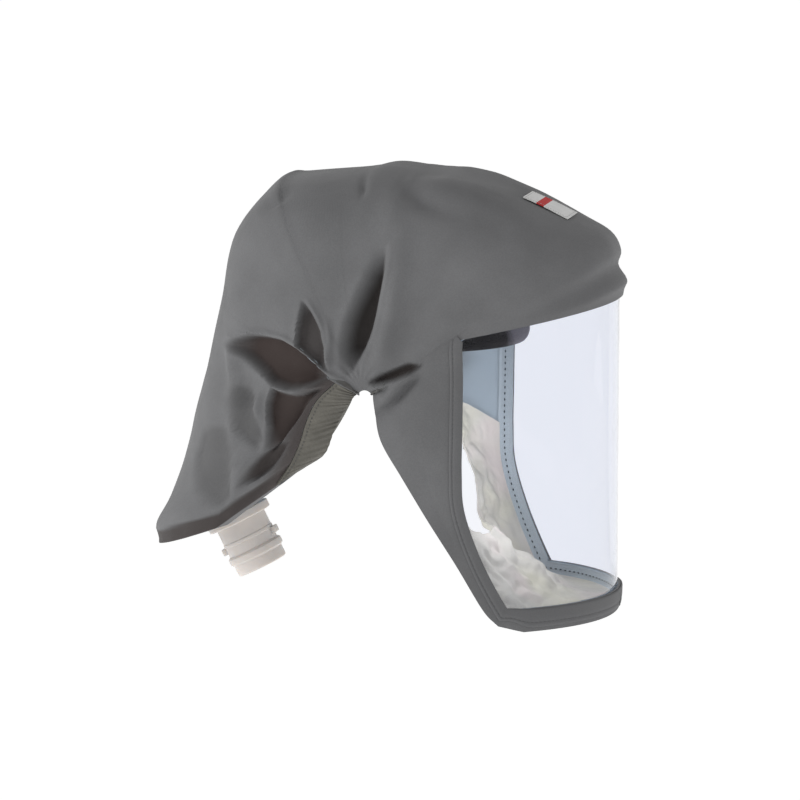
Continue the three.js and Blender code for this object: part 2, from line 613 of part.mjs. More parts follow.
// The face seal hangs between the tape and the face. Each row is one place round the face, from the cheek
// to the chin: face is the point of its elastic edge, in [forward, outwards, up] shares of the reach, the
// half width and the chin's drop, and sag is its slack.
const SEAL_ROUND = [
  { face: [0.095, 0.585, -0.130], sag: 0.00 },
  { face: [0.190, 0.590, -0.300], sag: 0.03 },
  { face: [0.270, 0.592, -0.480], sag: 0.04 },
  { face: [0.320, 0.540, -0.630], sag: 0.04 },
  { face: [0.350, 0.400, -0.710], sag: 0.05 },
  { face: [0.370, 0.200, -0.735], sag: 0.05 },
  { face: [0.370, 0.000, -0.740], sag: 0.05 },
];
const SEAL_START = 2.0;
const SEAL_TOP_PLACE = 4.1;
const SEAL_STEPS = 5;
const SEAL_RIPPLE = 2.2;
const SEAL_WAVES = 17;
const SEAL_SLANT = 2.5;
const cheekIndex = windowRun.findIndex(({ place }) => place >= SEAL_TOP_PLACE);

function sealPoint(k, step, side) {
  const round = 1 - k / cheekIndex;
  const rows = SEAL_ROUND.map((row) => [...row.face, row.sag]);
  const [forward, outwards, up, sag] = alongRows(rows, round * (rows.length - 1));
  const { spot, away } = windowRun[k];
  const start = liftedPoint(plus(spot, away, TAPE_WIDTH + SEAL_START), side, -TAPE_DEPTH);
  const face = [forward * FACE_REACH, side * outwards * EAR_HALF_WIDTH, up * CHIN_DROP];
  const end = plus([EAR_FORWARD, 0, -EAR_DROP], face);
  const bow = Math.sin(Math.PI * step);
  const ripple = SEAL_RIPPLE * bow * Math.sin(round * SEAL_WAVES + step * SEAL_SLANT + side);
  const slack = [ripple / 2, side * ripple / 2, ripple / 2 - sag * CHIN_DROP * bow];
  return plus(mix(start, end, step), slack);
}

function makeSeal() {
  const grid = [];
  for (let step = SEAL_STEPS; step >= 0; step -= 1) {
    const share = step / SEAL_STEPS;
    const half = (side) => Array.from({ length: cheekIndex + 1 }, (_, k) => sealPoint(k, share, side));
    grid.push([...half(-1).reverse(), ...half(1).slice(1)]);
  }
  return thickSheet(grid, SEAL_CLOTH);
}

// The elastic casing along the back of each side's opening runs beside the hood's edge and stands past it
const CUFF_STEPS = [0, 0.5, 1];
const CUFF_RIPPLE = 1.2;
const CUFF_RIPPLES = 5.5;
const CUFF_CELLS = 2;
const CUFF_DRAW = 0.35;
const CUFF_GAP = 0.8;
const CUFF_START = 0.4;
function makeCuff(side) {
  const places = rowPlaces.filter((place) => place > CUFF_TOP_PLACE + CUFF_START);
  const edge = places.map((place) => ({
    point: hoodSurface(place, 0, side),
    normal: baseNormal(sectionSpot(place, 0), side),
  }));
  const past = edge.map(({ normal }, k) => {
    const run = minus(edge[Math.min(k + 1, edge.length - 1)].point, edge[Math.max(k - 1, 0)].point);
    return unit(cross(normal, run)).map((value) => -side * value);
  });
  const last = (edge.length - 1) * CUFF_CELLS;
  const grid = CUFF_STEPS.map((t) => Array.from({ length: last + 1 }, (_, k) => {
    const at = Math.min(Math.floor(k / CUFF_CELLS), edge.length - 2);
    const part = k / CUFF_CELLS - at;
    const middle = (list) => mix(list[at], list[at + 1], part);
    const normal = middle(edge.map((row) => row.normal));
    const ripple = CUFF_RIPPLE * t * Math.sin(2 * Math.PI * CUFF_RIPPLES * k / last);
    const out = plus(middle(edge.map((row) => row.point)), middle(past), t * CUFF_WIDTH + CUFF_GAP);
    return plus(plus(out, normal, ripple), [0, -side, 0], CUFF_DRAW * CUFF_WIDTH * t * t);
  }));
  return thickSheet(side < 0 ? grid : flip(grid), CUFF_CLOTH);
}

// Solids that are cut or joined
function solidOf(geometry) {
  geometry.deleteAttribute('normal');
  geometry.deleteAttribute('uv');
  const merged = mergeVertices(geometry, 1e-4);
  return new wasm.Manifold(new wasm.Mesh({
    numProp: 3,
    vertProperties: new Float32Array(merged.attributes.position.array),
    triVerts: new Uint32Array(merged.index.array),
  }));
}
function geometryOf(solid) {
  const mesh = solid.getMesh();
  const geometry = new THREE.BufferGeometry();
  geometry.setAttribute('position', new THREE.BufferAttribute(mesh.vertProperties, 3));
  geometry.setIndex(new THREE.BufferAttribute(mesh.triVerts, 1));
  return geometry;
}

// An upright oval ring, or an arc of one in front: half length and half width are its outer face's
function ovalRing(halfLength, halfWidthAcross, wall, low, high, spread = 360, segments = 40) {
  const shape = new THREE.Shape();
  const angleAt = (k) => THREE.MathUtils.degToRad((k / segments - 0.5) * spread);
  const angles = Array.from({ length: segments + 1 }, (_, k) => angleAt(k));
  const at = (angle, inset) => [
    (halfLength - inset) * Math.cos(angle), (halfWidthAcross - inset) * Math.sin(angle)];
  if (spread >= 360) angles.pop();
  const outer = angles.map((angle) => new THREE.Vector2(...at(angle, 0)));
  const inner = angles.map((angle) => new THREE.Vector2(...at(angle, wall)));
  if (spread >= 360) {
    shape.setFromPoints(outer);
    shape.holes.push(new THREE.Path().setFromPoints(inner));
  } else {
    shape.setFromPoints([...outer, ...inner.reverse()]);
  }
  const geometry = new THREE.ExtrudeGeometry(shape, { depth: high - low, bevelEnabled: false, steps: 1 });
  return geometry.translate(0, 0, low);
}

// Headband: a plain hoop with a strap tab to the hood's wall on each side
const TAB_FORWARD = -18;
const TAB_THICKNESS = 3;
const TAB_ROOT = 6;
const BAND_TOP = BAND_LIFT + BAND_HEIGHT;
function makeHeadband() {
  let band = solidOf(ovalRing(BAND_HALF_LENGTH, BAND_HALF_WIDTH, BAND_WALL, BAND_LIFT, BAND_TOP));
  const wallSpots = [-0.5, -0.25, 0, 0.25, 0.5].map((share) => [
    TAB_FORWARD - EAR_FORWARD + share * TAB_WIDTH, BAND_TOP + EAR_DROP]);
  const walls = wallSpots.map((spot) => basePoint(spot, 1)[1] + Math.min(creaseHeight(spot), 0));
  const reach = Math.min(...walls) - HOOD_CLOTH - LAP_GAP;
  const bandSide = BAND_HALF_WIDTH * Math.sqrt(1 - (TAB_FORWARD / BAND_HALF_LENGTH) ** 2);
  const start = bandSide - TAB_ROOT;
  for (const side of [-1, 1]) {
    const tab = new THREE.BoxGeometry(TAB_WIDTH, reach - start, TAB_THICKNESS);
    tab.translate(TAB_FORWARD, side * (reach + start) / 2, BAND_TOP - TAB_THICKNESS / 2);
    const hollow = ovalRing(BAND_HALF_LENGTH - BAND_WALL / 2, BAND_HALF_WIDTH - BAND_WALL / 2,
      TAB_WIDTH, BAND_LIFT, BAND_TOP + TAB_THICKNESS);
    band = band.add(solidOf(tab).subtract(solidOf(hollow)));
  }
  return geometryOf(band);
}

// Brow pad: wraps the front of the headband, with a groove that the band sits in
const PAD_LIP = 2.4;
const PAD_CELLS = 22;
function makeBrowPad() {
  const outer = PAD_LIP + SEAM_GAP;
  const thick = PAD_THICKNESS + BAND_WALL + outer + SEAM_GAP;
  const pad = ovalRing(BAND_HALF_LENGTH + outer, BAND_HALF_WIDTH + outer, thick,
    BAND_TOP + PAD_ABOVE_BAND - PAD_HEIGHT, BAND_TOP + PAD_ABOVE_BAND, 2 * PAD_SPREAD_ANGLE, PAD_CELLS);
  const groove = ovalRing(BAND_HALF_LENGTH + SEAM_GAP, BAND_HALF_WIDTH + SEAM_GAP, BAND_WALL + 2 * SEAM_GAP,
    BAND_LIFT - SEAM_GAP, BAND_TOP + PAD_HEIGHT);
  return geometryOf(solidOf(pad).subtract(solidOf(groove)));
}

// Hose connector: a bored body with a flange where it meets the duct and a ring where the hose locks
const CONNECTOR_SIDES = 20;
const RING_PLACE = 8;
const FLANGE_PLACE = 36;
const LUG_PLACE = 20;
const NECK_STEP = 2.5;
const CONNECTOR_END = [CONNECTOR_FROM_BACK - BACK_REACH, 0, -EAR_DROP - FLAP_DROP - CONNECTOR_BELOW_FLAP];
function makeConnector() {
  const body = CONNECTOR_OUTER / 2;
  const bore = CONNECTOR_BORE / 2;
  const profile = [
    [bore, 0], [body, 0], [body, RING_PLACE], [body + RING_PROUD, RING_PLACE],
    [body + RING_PROUD, RING_PLACE + RING_HEIGHT], [body, RING_PLACE + RING_HEIGHT],
    [body, FLANGE_PLACE], [body + FLANGE_PROUD, FLANGE_PLACE],
    [body + FLANGE_PROUD, FLANGE_PLACE + FLANGE_HEIGHT], [body - NECK_STEP, FLANGE_PLACE + FLANGE_HEIGHT],
    [body - NECK_STEP, CONNECTOR_LENGTH], [bore, CONNECTOR_LENGTH], [bore, 0],
  ].map(([radius, height]) => new THREE.Vector2(radius, height));
  const lathe = new THREE.LatheGeometry(profile, CONNECTOR_SIDES);
  lathe.rotateX(Math.PI / 2);
  let solid = solidOf(lathe);
  for (const side of [-1, 1]) {
    const lug = new THREE.BoxGeometry(RING_PROUD + NECK_STEP, LUG_BREADTH, LUG_HEIGHT);
    lug.translate(side * (body + RING_PROUD / 2 - NECK_STEP / 2), 0, LUG_PLACE);
    solid = solid.add(solidOf(lug));
  }
  const geometry = geometryOf(solid);
  geometry.rotateY(-THREE.MathUtils.degToRad(CONNECTOR_TILT));
  return geometry.translate(...CONNECTOR_END);
}

// Place between two sections where the centre line passes a forward (axis 0) or rise (axis 1) value
const HALVINGS = 30;
function placeWhere(axis, value, first, last) {
  let low = first;
  let high = last;
  for (let k = 0; k < HALVINGS; k += 1) {
    const middle = (low + high) / 2;
    if (alongRows(outList, middle)[axis] > value) low = middle;
    else high = middle;
  }
  return low;
}

// Air duct: a plain tube from the top of the connector up the back of the hood to the headband
const DUCT_SIDES = 10;
const DUCT_STEPS = 7;
const CROWN_TOP_PLACE = SECTIONS.findIndex((row) => row.out[0] === 0);
function ductSpot(height) {
  const back = alongRows(outList, placeWhere(1, height + EAR_DROP, CROWN_TOP_PLACE, LAST_ROW))[0];
  return [EAR_FORWARD + back + HOOD_CLOTH + DUCT_CLEARANCE + DUCT_OUTER / 2, 0, height];
}
function makeDuct() {
  const tilt = THREE.MathUtils.degToRad(CONNECTOR_TILT);
  const axis = [-Math.sin(tilt), 0, Math.cos(tilt)];
  const foot = plus(CONNECTOR_END, axis, CONNECTOR_LENGTH + SEAM_GAP);
  const top = ductSpot(BAND_LIFT - SEAM_GAP);
  const route = new THREE.CatmullRomCurve3([
    foot,
    plus(foot, axis, DUCT_STRAIGHT),
    ductSpot((foot[2] + top[2]) / 2),
    plus(top, [0, 0, -DUCT_STRAIGHT]),
    top,
  ].map((point) => new THREE.Vector3(...point)));
  const shape = new THREE.Shape().absarc(0, 0, DUCT_OUTER / 2, 0, 2 * Math.PI);
  shape.holes.push(new THREE.Path().absarc(0, 0, DUCT_OUTER / 2 - DUCT_WALL, 0, 2 * Math.PI, true));
  return new THREE.ExtrudeGeometry(shape, {
    steps: DUCT_STEPS, curveSegments: DUCT_SIDES / 2, extrudePath: route, bevelEnabled: false,
  });
}

// Label patch: lies on the front of the crown, across the centre line
const LABEL_CELLS = { along: 4, over: 4 };
const LABEL_SECTIONS = { first: 2, last: 9 };
const LABEL_SLOPE = { rise: 0.3, run: 0.65 };
function placeOfForward(forward) {
  return placeWhere(0, forward, HEAD_ROW + LABEL_SECTIONS.first, HEAD_ROW + LABEL_SECTIONS.last);
}
function acrossOfWidth(place, width) {
  let low = 0.5;
  let high = 1;
  for (let k = 0; k < HALVINGS; k += 1) {
    const middle = (low + high) / 2;
    if (Math.abs(hoodPoint(place, middle, 1)[1]) > width) low = middle;
    else high = middle;
  }
  return high;
}
function makeLabel() {
  const slope = Math.atan2(CROWN_RISE * LABEL_SLOPE.rise, FACE_REACH * LABEL_SLOPE.run);
  const half = LABEL_LENGTH / 2 * Math.cos(slope);
  const grid = [];
  for (let j = 0; j <= LABEL_CELLS.along; j += 1) {
    const place = placeOfForward(FACE_REACH - LABEL_FROM_VISOR + half * (1 - 2 * j / LABEL_CELLS.along));
    const row = [];
    for (let i = 0; i <= LABEL_CELLS.over; i += 1) {
      const width = LABEL_WIDTH * (i / LABEL_CELLS.over - 0.5);
      const side = width < 0 ? -1 : 1;
      const across = acrossOfWidth(place, Math.abs(width));
      const point = hoodPoint(place, across, side);
      const normal = baseNormal(sectionSpot(place, across), side);
      row.push(plus(point, normal, SEAM_GAP + LABEL_CLOTH));
    }
    grid.push(row);
  }
  return thickSheet(grid, LABEL_CLOTH);
}

const part = new THREE.Group();
function addPiece(name, geometry, material) {
  geometry.computeVertexNormals();
  const mesh = new THREE.Mesh(geometry, material);
  mesh.name = name;
  part.add(mesh);
}
addPiece('hood_shell', hoodShell, hoodCloth);
addPiece('visor_hem', makeHem(), hemCloth);
addPiece('visor', makeVisor(), clearSheet);
addPiece('seam_tape', makeTape(), blueTape);
addPiece('face_seal', makeSeal(), creamCloth);
addPiece('neck_cuff_right', makeCuff(-1), cuffCloth);
addPiece('neck_cuff_left', makeCuff(1), cuffCloth);
addPiece('headband', makeHeadband(), darkPlastic);
addPiece('brow_pad', makeBrowPad(), blackPad);
addPiece('air_connector', makeConnector(), milkyPlastic);
addPiece('air_duct', makeDuct(), darkPlastic);
addPiece('label_patch', makeLabel(), whiteLabel);

export default part;
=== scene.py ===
"""Respirator head cover: its cloth, clear sheet, pad and connector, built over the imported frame."""

import logging
import math
from dataclasses import dataclass, field
from enum import Enum

import bpy
import numpy as np
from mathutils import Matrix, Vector, noise


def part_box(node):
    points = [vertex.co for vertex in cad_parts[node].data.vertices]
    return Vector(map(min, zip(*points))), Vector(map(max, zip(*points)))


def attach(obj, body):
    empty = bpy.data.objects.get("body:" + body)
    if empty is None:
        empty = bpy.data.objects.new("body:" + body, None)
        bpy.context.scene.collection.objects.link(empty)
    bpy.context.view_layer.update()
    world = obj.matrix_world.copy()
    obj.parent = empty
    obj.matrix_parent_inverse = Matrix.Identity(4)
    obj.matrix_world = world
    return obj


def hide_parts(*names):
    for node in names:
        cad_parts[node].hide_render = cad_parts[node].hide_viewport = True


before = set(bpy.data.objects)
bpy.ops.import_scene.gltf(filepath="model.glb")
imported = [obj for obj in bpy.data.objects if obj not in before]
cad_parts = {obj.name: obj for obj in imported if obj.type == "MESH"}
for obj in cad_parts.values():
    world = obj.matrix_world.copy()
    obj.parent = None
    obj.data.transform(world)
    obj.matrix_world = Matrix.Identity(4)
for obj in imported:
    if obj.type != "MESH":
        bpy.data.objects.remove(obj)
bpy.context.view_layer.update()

log = logging.getLogger("head_cover")

MM = 0.001
SAME_POINT = 1e-6
Colour = tuple[float, float, float]
Pair = tuple[float, float]
Triple = tuple[float, float, float]
Piece = bpy.types.Object
Material = bpy.types.Material
Socket = bpy.types.NodeSocket


class Side(Enum):
    """The wearer's right is towards -Y, the left towards +Y."""

    RIGHT = -1
    LEFT = 1


class Level(Enum):
    """The three runs of the visor's edge."""

    FOOT = -1
    FLANK = 0
    HEAD = 1


# Tables of the hood's form


@dataclass(frozen=True)
class Section:
    """One line across the side of the hood, as [forward, rise] shares from the ear point.

    out is its point on the centre line, side a point on the way, edge its end at the jaw or
    the elastic (None where it ends in the gather at the ear), rows how finely it is drawn and
    pull how far its edge is drawn in towards the neck.
    """

    out: Pair
    side: Pair
    edge: Pair | None
    rows: int
    pull: float = 0.0


FACE_SECTIONS = (
    Section((0.995, -1.010), (0.680, -1.015), (0.580, -0.985), 6),
    Section((1.000, -0.916), (0.608, -0.919), (0.519, -0.916), 8),
    Section((1.000, -0.730), (0.506, -0.717), (0.407, -0.723), 8),
    Section((1.000, -0.510), (0.435, -0.509), (0.278, -0.518), 8),
    Section((1.000, -0.300), (0.423, -0.349), (0.179, -0.355), 8),
    Section((1.000, -0.090), (0.425, -0.169), (0.096, -0.217), 6),
    Section((1.000, 0.138), (0.427, 0.020), (0.068, -0.108), 14),
)
HOOD_SECTIONS = (
    Section((1.000, 0.359), (0.429, 0.234), (0.057, -0.036), 6),
    Section((1.018, 0.430), (0.469, 0.317), (0.055, -0.030), 4),
    Section((0.974, 0.500), (0.480, 0.362), None, 4),
    Section((0.985, 0.570), (0.481, 0.400), None, 5),
    Section((0.940, 0.655), (0.469, 0.440), None, 6),
    Section((0.815, 0.730), (0.426, 0.469), None, 8),
    Section((0.605, 0.835), (0.340, 0.500), None, 14),
    Section((0.333, 0.928), (0.185, 0.520), None, 16),
    Section((0.136, 0.957), (0.075, 0.525), None, 12),
    Section((0.000, 0.970), (0.000, 0.525), None, 8),
    Section((-0.114, 0.945), (-0.060, 0.520), None, 10),
    Section((-0.386, 0.915), (-0.200, 0.500), None, 5),
    Section((-0.464, 0.893), (-0.240, 0.480), None, 18),
    Section((-0.628, 0.664), (-0.330, 0.360), None, 22),
    Section((-0.693, 0.345), (-0.370, 0.190), None, 18),
    Section((-0.737, 0.110), (-0.400, 0.065), (-0.075, 0.028), 14, 0.02),
    Section((-0.784, -0.092), (-0.430, -0.060), (-0.135, -0.020), 12, 0.05),
    Section((-0.820, -0.246), (-0.470, -0.190), (-0.195, -0.100), 10, 0.08),
    Section((-0.860, -0.477), (-0.510, -0.360), (-0.240, -0.215), 10, 0.12),
    Section((-0.935, -0.731), (-0.570, -0.570), (-0.275, -0.335), 6, 0.16),
    Section((-1.006, -0.892), (-0.620, -0.720), (-0.325, -0.460), 5, 0.20),
    Section((-1.000, -1.000), (-0.640, -0.810), (-0.385, -0.575), 1, 0.22),
)
SECTIONS = FACE_SECTIONS + HOOD_SECTIONS
FOOT_ROW = 1
HEAD_ROW = len(FACE_SECTIONS)
LAST_ROW = len(SECTIONS) - 1
CUFF_TOP_ROW = HEAD_ROW + 15

# Direction from the ear point in degrees, and the roundness there: 2 is an ellipse, more is boxier
ROUNDNESS = ((-60, 2.2), (15, 2.2), (45, 3.0), (110, 3.0), (150, 2.6), (190, 2.4), (240, 2.0))


@dataclass(frozen=True)
class Crease:
    """A soft ridge (height above nought) or valley along a short run of [forward, rise] shares."""

    run: tuple[Pair, ...]
    width: float
    height: float


CREASES = (
    Crease(((0.070, 0.034), (0.173, 0.088), (0.265, 0.128)), 1.5, 1.9),
    Crease(((0.272, 0.105), (0.228, 0.036), (0.185, -0.024), (0.136, -0.072), (0.086, -0.108)), 2.6, -2.4),
    Crease(((0.250, 0.125), (0.185, 0.040), (0.120, -0.030), (0.060, -0.070)), 4.0, 1.6),
    Crease(((0.15, 0.62), (0.135, 0.32), (0.09, 0.16), (0.02, 0.05)), 8.5, 6.5),
    Crease(((0.01, 0.50), (-0.045, 0.32), (-0.075, 0.20), (-0.07, 0.10)), 6.0, 3.0),
    Crease(((-0.126, 0.30), (-0.116, 0.22), (-0.126, 0.15), (-0.145, 0.07)), 2.6, 3.4),
    Crease(((-0.245, 0.37), (-0.262, 0.27), (-0.270, 0.20)), 2.6, 1.8),
    Crease(((0.27, 0.085), (0.20, 0.055), (0.10, 0.01), (0.05, -0.01)), 2.4, 2.2),
    Crease(((0.265, 0.075), (0.228, 0.028), (0.185, -0.024), (0.136, -0.072), (0.086, -0.108)), 4.6, -4.0),
    Crease(((0.20, 0.03), (0.13, -0.03), (0.085, -0.06)), 6.0, 2.4),
    Crease(((-0.572, 0.18), (-0.566, 0.11), (-0.548, 0.02), (-0.536, -0.18), (-0.56, -0.45)), 5.0, 5.0),
    Crease(((-0.50, 0.04), (-0.49, -0.05), (-0.485, -0.15)), 11.0, -4.5),
    Crease(((-0.432, -0.05), (-0.442, -0.12), (-0.448, -0.21)), 3.6, 3.6),
    Crease(((-0.36, -0.03), (-0.27, -0.005), (-0.17, -0.01)), 2.6, 3.2),
    Crease(((-0.50, -0.42), (-0.53, -0.56), (-0.57, -0.72)), 6.0, 3.0),
    Crease(((-0.40, -0.30), (-0.44, -0.46), (-0.48, -0.60)), 8.0, -4.0),
    Crease(((-0.62, -0.10), (-0.66, -0.40), (-0.74, -0.70)), 13.0, 3.0),
    Crease(((0.51, 0.42), (0.40, 0.31), (0.28, 0.18)), 10.0, 3.2),
    Crease(((0.36, 0.52), (0.27, 0.36), (0.18, 0.20)), 9.0, -2.0),
    Crease(((-0.46, 0.79), (-0.40, 0.83), (-0.35, 0.87)), 3.2, -3.6),
    Crease(((-0.06, 0.945), (-0.035, 0.90), (-0.03, 0.87)), 2.4, -2.6),
    Crease(((0.16, 0.93), (0.40, 0.87), (0.65, 0.76)), 6.0, 4.2),
    Crease(((0.13, 0.91), (0.24, 0.845), (0.40, 0.80)), 4.6, -4.4),
    Crease(((0.17, 0.96), (0.22, 0.955), (0.27, 0.94)), 3.0, -2.4),
    Crease(((0.10, 0.90), (0.145, 0.70), (0.15, 0.55)), 9.0, 2.2),
    Crease(((-0.50, 0.62), (-0.54, 0.40), (-0.57, 0.20)), 12.0, 2.6),
)


@dataclass(frozen=True)
class Pocket:
    """A leaf-shaped hollow that runs out from the elastic at the ear.

    rows hold a distance from the ear point in millimetres with the low and the high direction
    in degrees between which the hollow lies there. low and high are how many millimetres wide
    its slope is at each rim. The field after high is how dark the shade painted into its hollow is, spread
    how closely that painted shade keeps to the deepest part and the last field how brownish it is, from 0 to
    1 or a little more.
    """

    rows: tuple[Triple, ...]
    depth: float
    low: float
    high: float
    painted_shade: float
    spread: float = 1.0
    lip: float = 0.0
    warm: float = 0.0


# Each pocket also holds the painted shade drawn into its hollow, and how brownish that shade is
POCKETS = (
    Pocket(
        ((14, 165, 174), (21, 162, 178), (26, 157, 182), (35, 152.2, 186), (41, 150.5, 187.4),
         (50, 149.3, 187), (62, 150.4, 182.5), (69, 152.5, 177.5), (76, 154.6, 174), (85, 157.8, 171),
         (90, 160.4, 170.2), (97, 164, 169.8), (104, 167.2, 169.4)),
        depth=11.0, low=3.2, high=7.0, painted_shade=1.0, spread=0.8, lip=1.4, warm=1.0,
    ),
    Pocket(
        ((22, 152, 158), (28, 143, 157.5), (36, 130.5, 154), (46, 123.8, 151), (51, 122.8, 149.8),
         (56, 122.4, 141), (61, 122.4, 133.5), (66, 122.6, 128), (71, 123, 125)),
        depth=7.0, low=3.2, high=3.2, painted_shade=0.74, spread=0.8, lip=1.3, warm=0.65,
    ),
    Pocket(
        ((7, 140, 175), (10, 122, 168), (14, 96, 150), (20, 84, 136), (27, 78, 124), (34, 75.5, 116),
         (41, 74.6, 109), (52, 75.2, 101), (62, 76, 95), (72, 76.6, 90.5), (84, 77.4, 87), (98, 78.4, 84)),
        depth=10.5, low=3.0, high=15.0, painted_shade=1.05, spread=1.7, lip=0.9, warm=0.2,
    ),
    Pocket(
        ((6, 8, 40), (12, 8, 35), (23, 11, 31.5), (31, 13.6, 30), (38.5, 15.6, 28.6), (43, 17, 26),
         (49, 18.6, 20.2)),
        depth=6.0, low=2.4, high=3.2, painted_shade=1.0, spread=0.6, lip=1.6, warm=0.4,
    ),
    Pocket(
        ((18, 181, 185), (27, 180.5, 190), (36, 184.5, 199), (41, 187, 203), (47, 187, 208),
         (55, 184.5, 212), (62, 182, 214), (67, 190, 216), (72, 203, 217), (78, 209, 217.5), (86, 214, 217)),
        depth=8.0, low=4.5, high=3.0, painted_shade=0.97, spread=0.9, lip=0.6, warm=1.0,
    ),
    Pocket(
        ((62, 217, 219.5), (72, 214.5, 222), (80, 213.8, 223.5), (90, 214.5, 224), (102, 216.5, 223),
         (114, 219, 221)),
        depth=5.0, low=4.0, high=4.0, painted_shade=0.9, spread=0.8, lip=0.8, warm=0.6,
    ),
    Pocket(
        ((76, 188, 204), (81, 182, 212), (88, 180, 214), (94, 183, 206), (98, 188, 198)),
        depth=2.0, low=7.0, high=9.0, painted_shade=0.38,
    ),
    Pocket(
        ((98, 198, 206), (106, 197, 212), (114, 196.5, 218), (124, 197.5, 223), (134, 203, 223),
         (144, 211, 220)),
        depth=2.5, low=6.0, high=8.0, painted_shade=0.34,
    ),
)


# The hood's form


def along_rows(rows: np.ndarray, places: np.ndarray) -> np.ndarray:
    """Take smooth values between the rows of a table.

    Args:
        rows: one row of numbers per whole place.
        places: places along the table, whole numbers on its rows.

    Returns:
        The values, with the places' shape and one more axis.
    """
    last = len(rows) - 1
    at = np.clip(np.floor(places).astype(int), 0, last - 1)
    t = (places - at)[..., None]
    padded = np.concatenate([2 * rows[:1] - rows[1:2], rows, 2 * rows[-1:] - rows[-2:-1]])
    a, b, c, d = (padded[at + k] for k in range(4))
    return 0.5 * (2 * b + (c - a) * t + (2 * a - 5 * b + 4 * c - d) * t**2 + (3 * b - a - 3 * c + d) * t**3)


def ease(t: np.ndarray) -> np.ndarray:
    """Return t eased in and out between 0 and 1."""
    t = np.clip(t, 0, 1)
    return t * t * (3 - 2 * t)


def unit(vectors: np.ndarray) -> np.ndarray:
    """Return the vectors of the last axis at length one."""
    return vectors / np.maximum(np.linalg.norm(vectors, axis=-1, keepdims=True), 1e-9)


def directions(spots: np.ndarray) -> np.ndarray:
    """Return each side-view spot's direction in degrees, from -90 to 270."""
    angle = np.degrees(np.arctan2(spots[..., 1], spots[..., 0]))
    return np.where(angle < -90, angle + 360, angle)


def run_distance(spots: np.ndarray, run: np.ndarray) -> tuple[np.ndarray, np.ndarray]:
    """Measure spots against a broken line.

    Args:
        spots: side-view points.
        run: the corners of the line.

    Returns:
        The distance from the line and the share of the line's corners passed.
    """
    nearest = np.full(spots.shape[:-1], np.inf)
    place = np.zeros(spots.shape[:-1])
    for k in range(len(run) - 1):
        step = run[k + 1] - run[k]
        t = np.clip(((spots - run[k]) @ step) / (step @ step), 0, 1)
        away = np.linalg.norm(spots - run[k] - t[..., None] * step, axis=-1)
        closer = away < nearest
        nearest = np.where(closer, away, nearest)
        place = np.where(closer, (k + t) / (len(run) - 1), place)
    return nearest, place


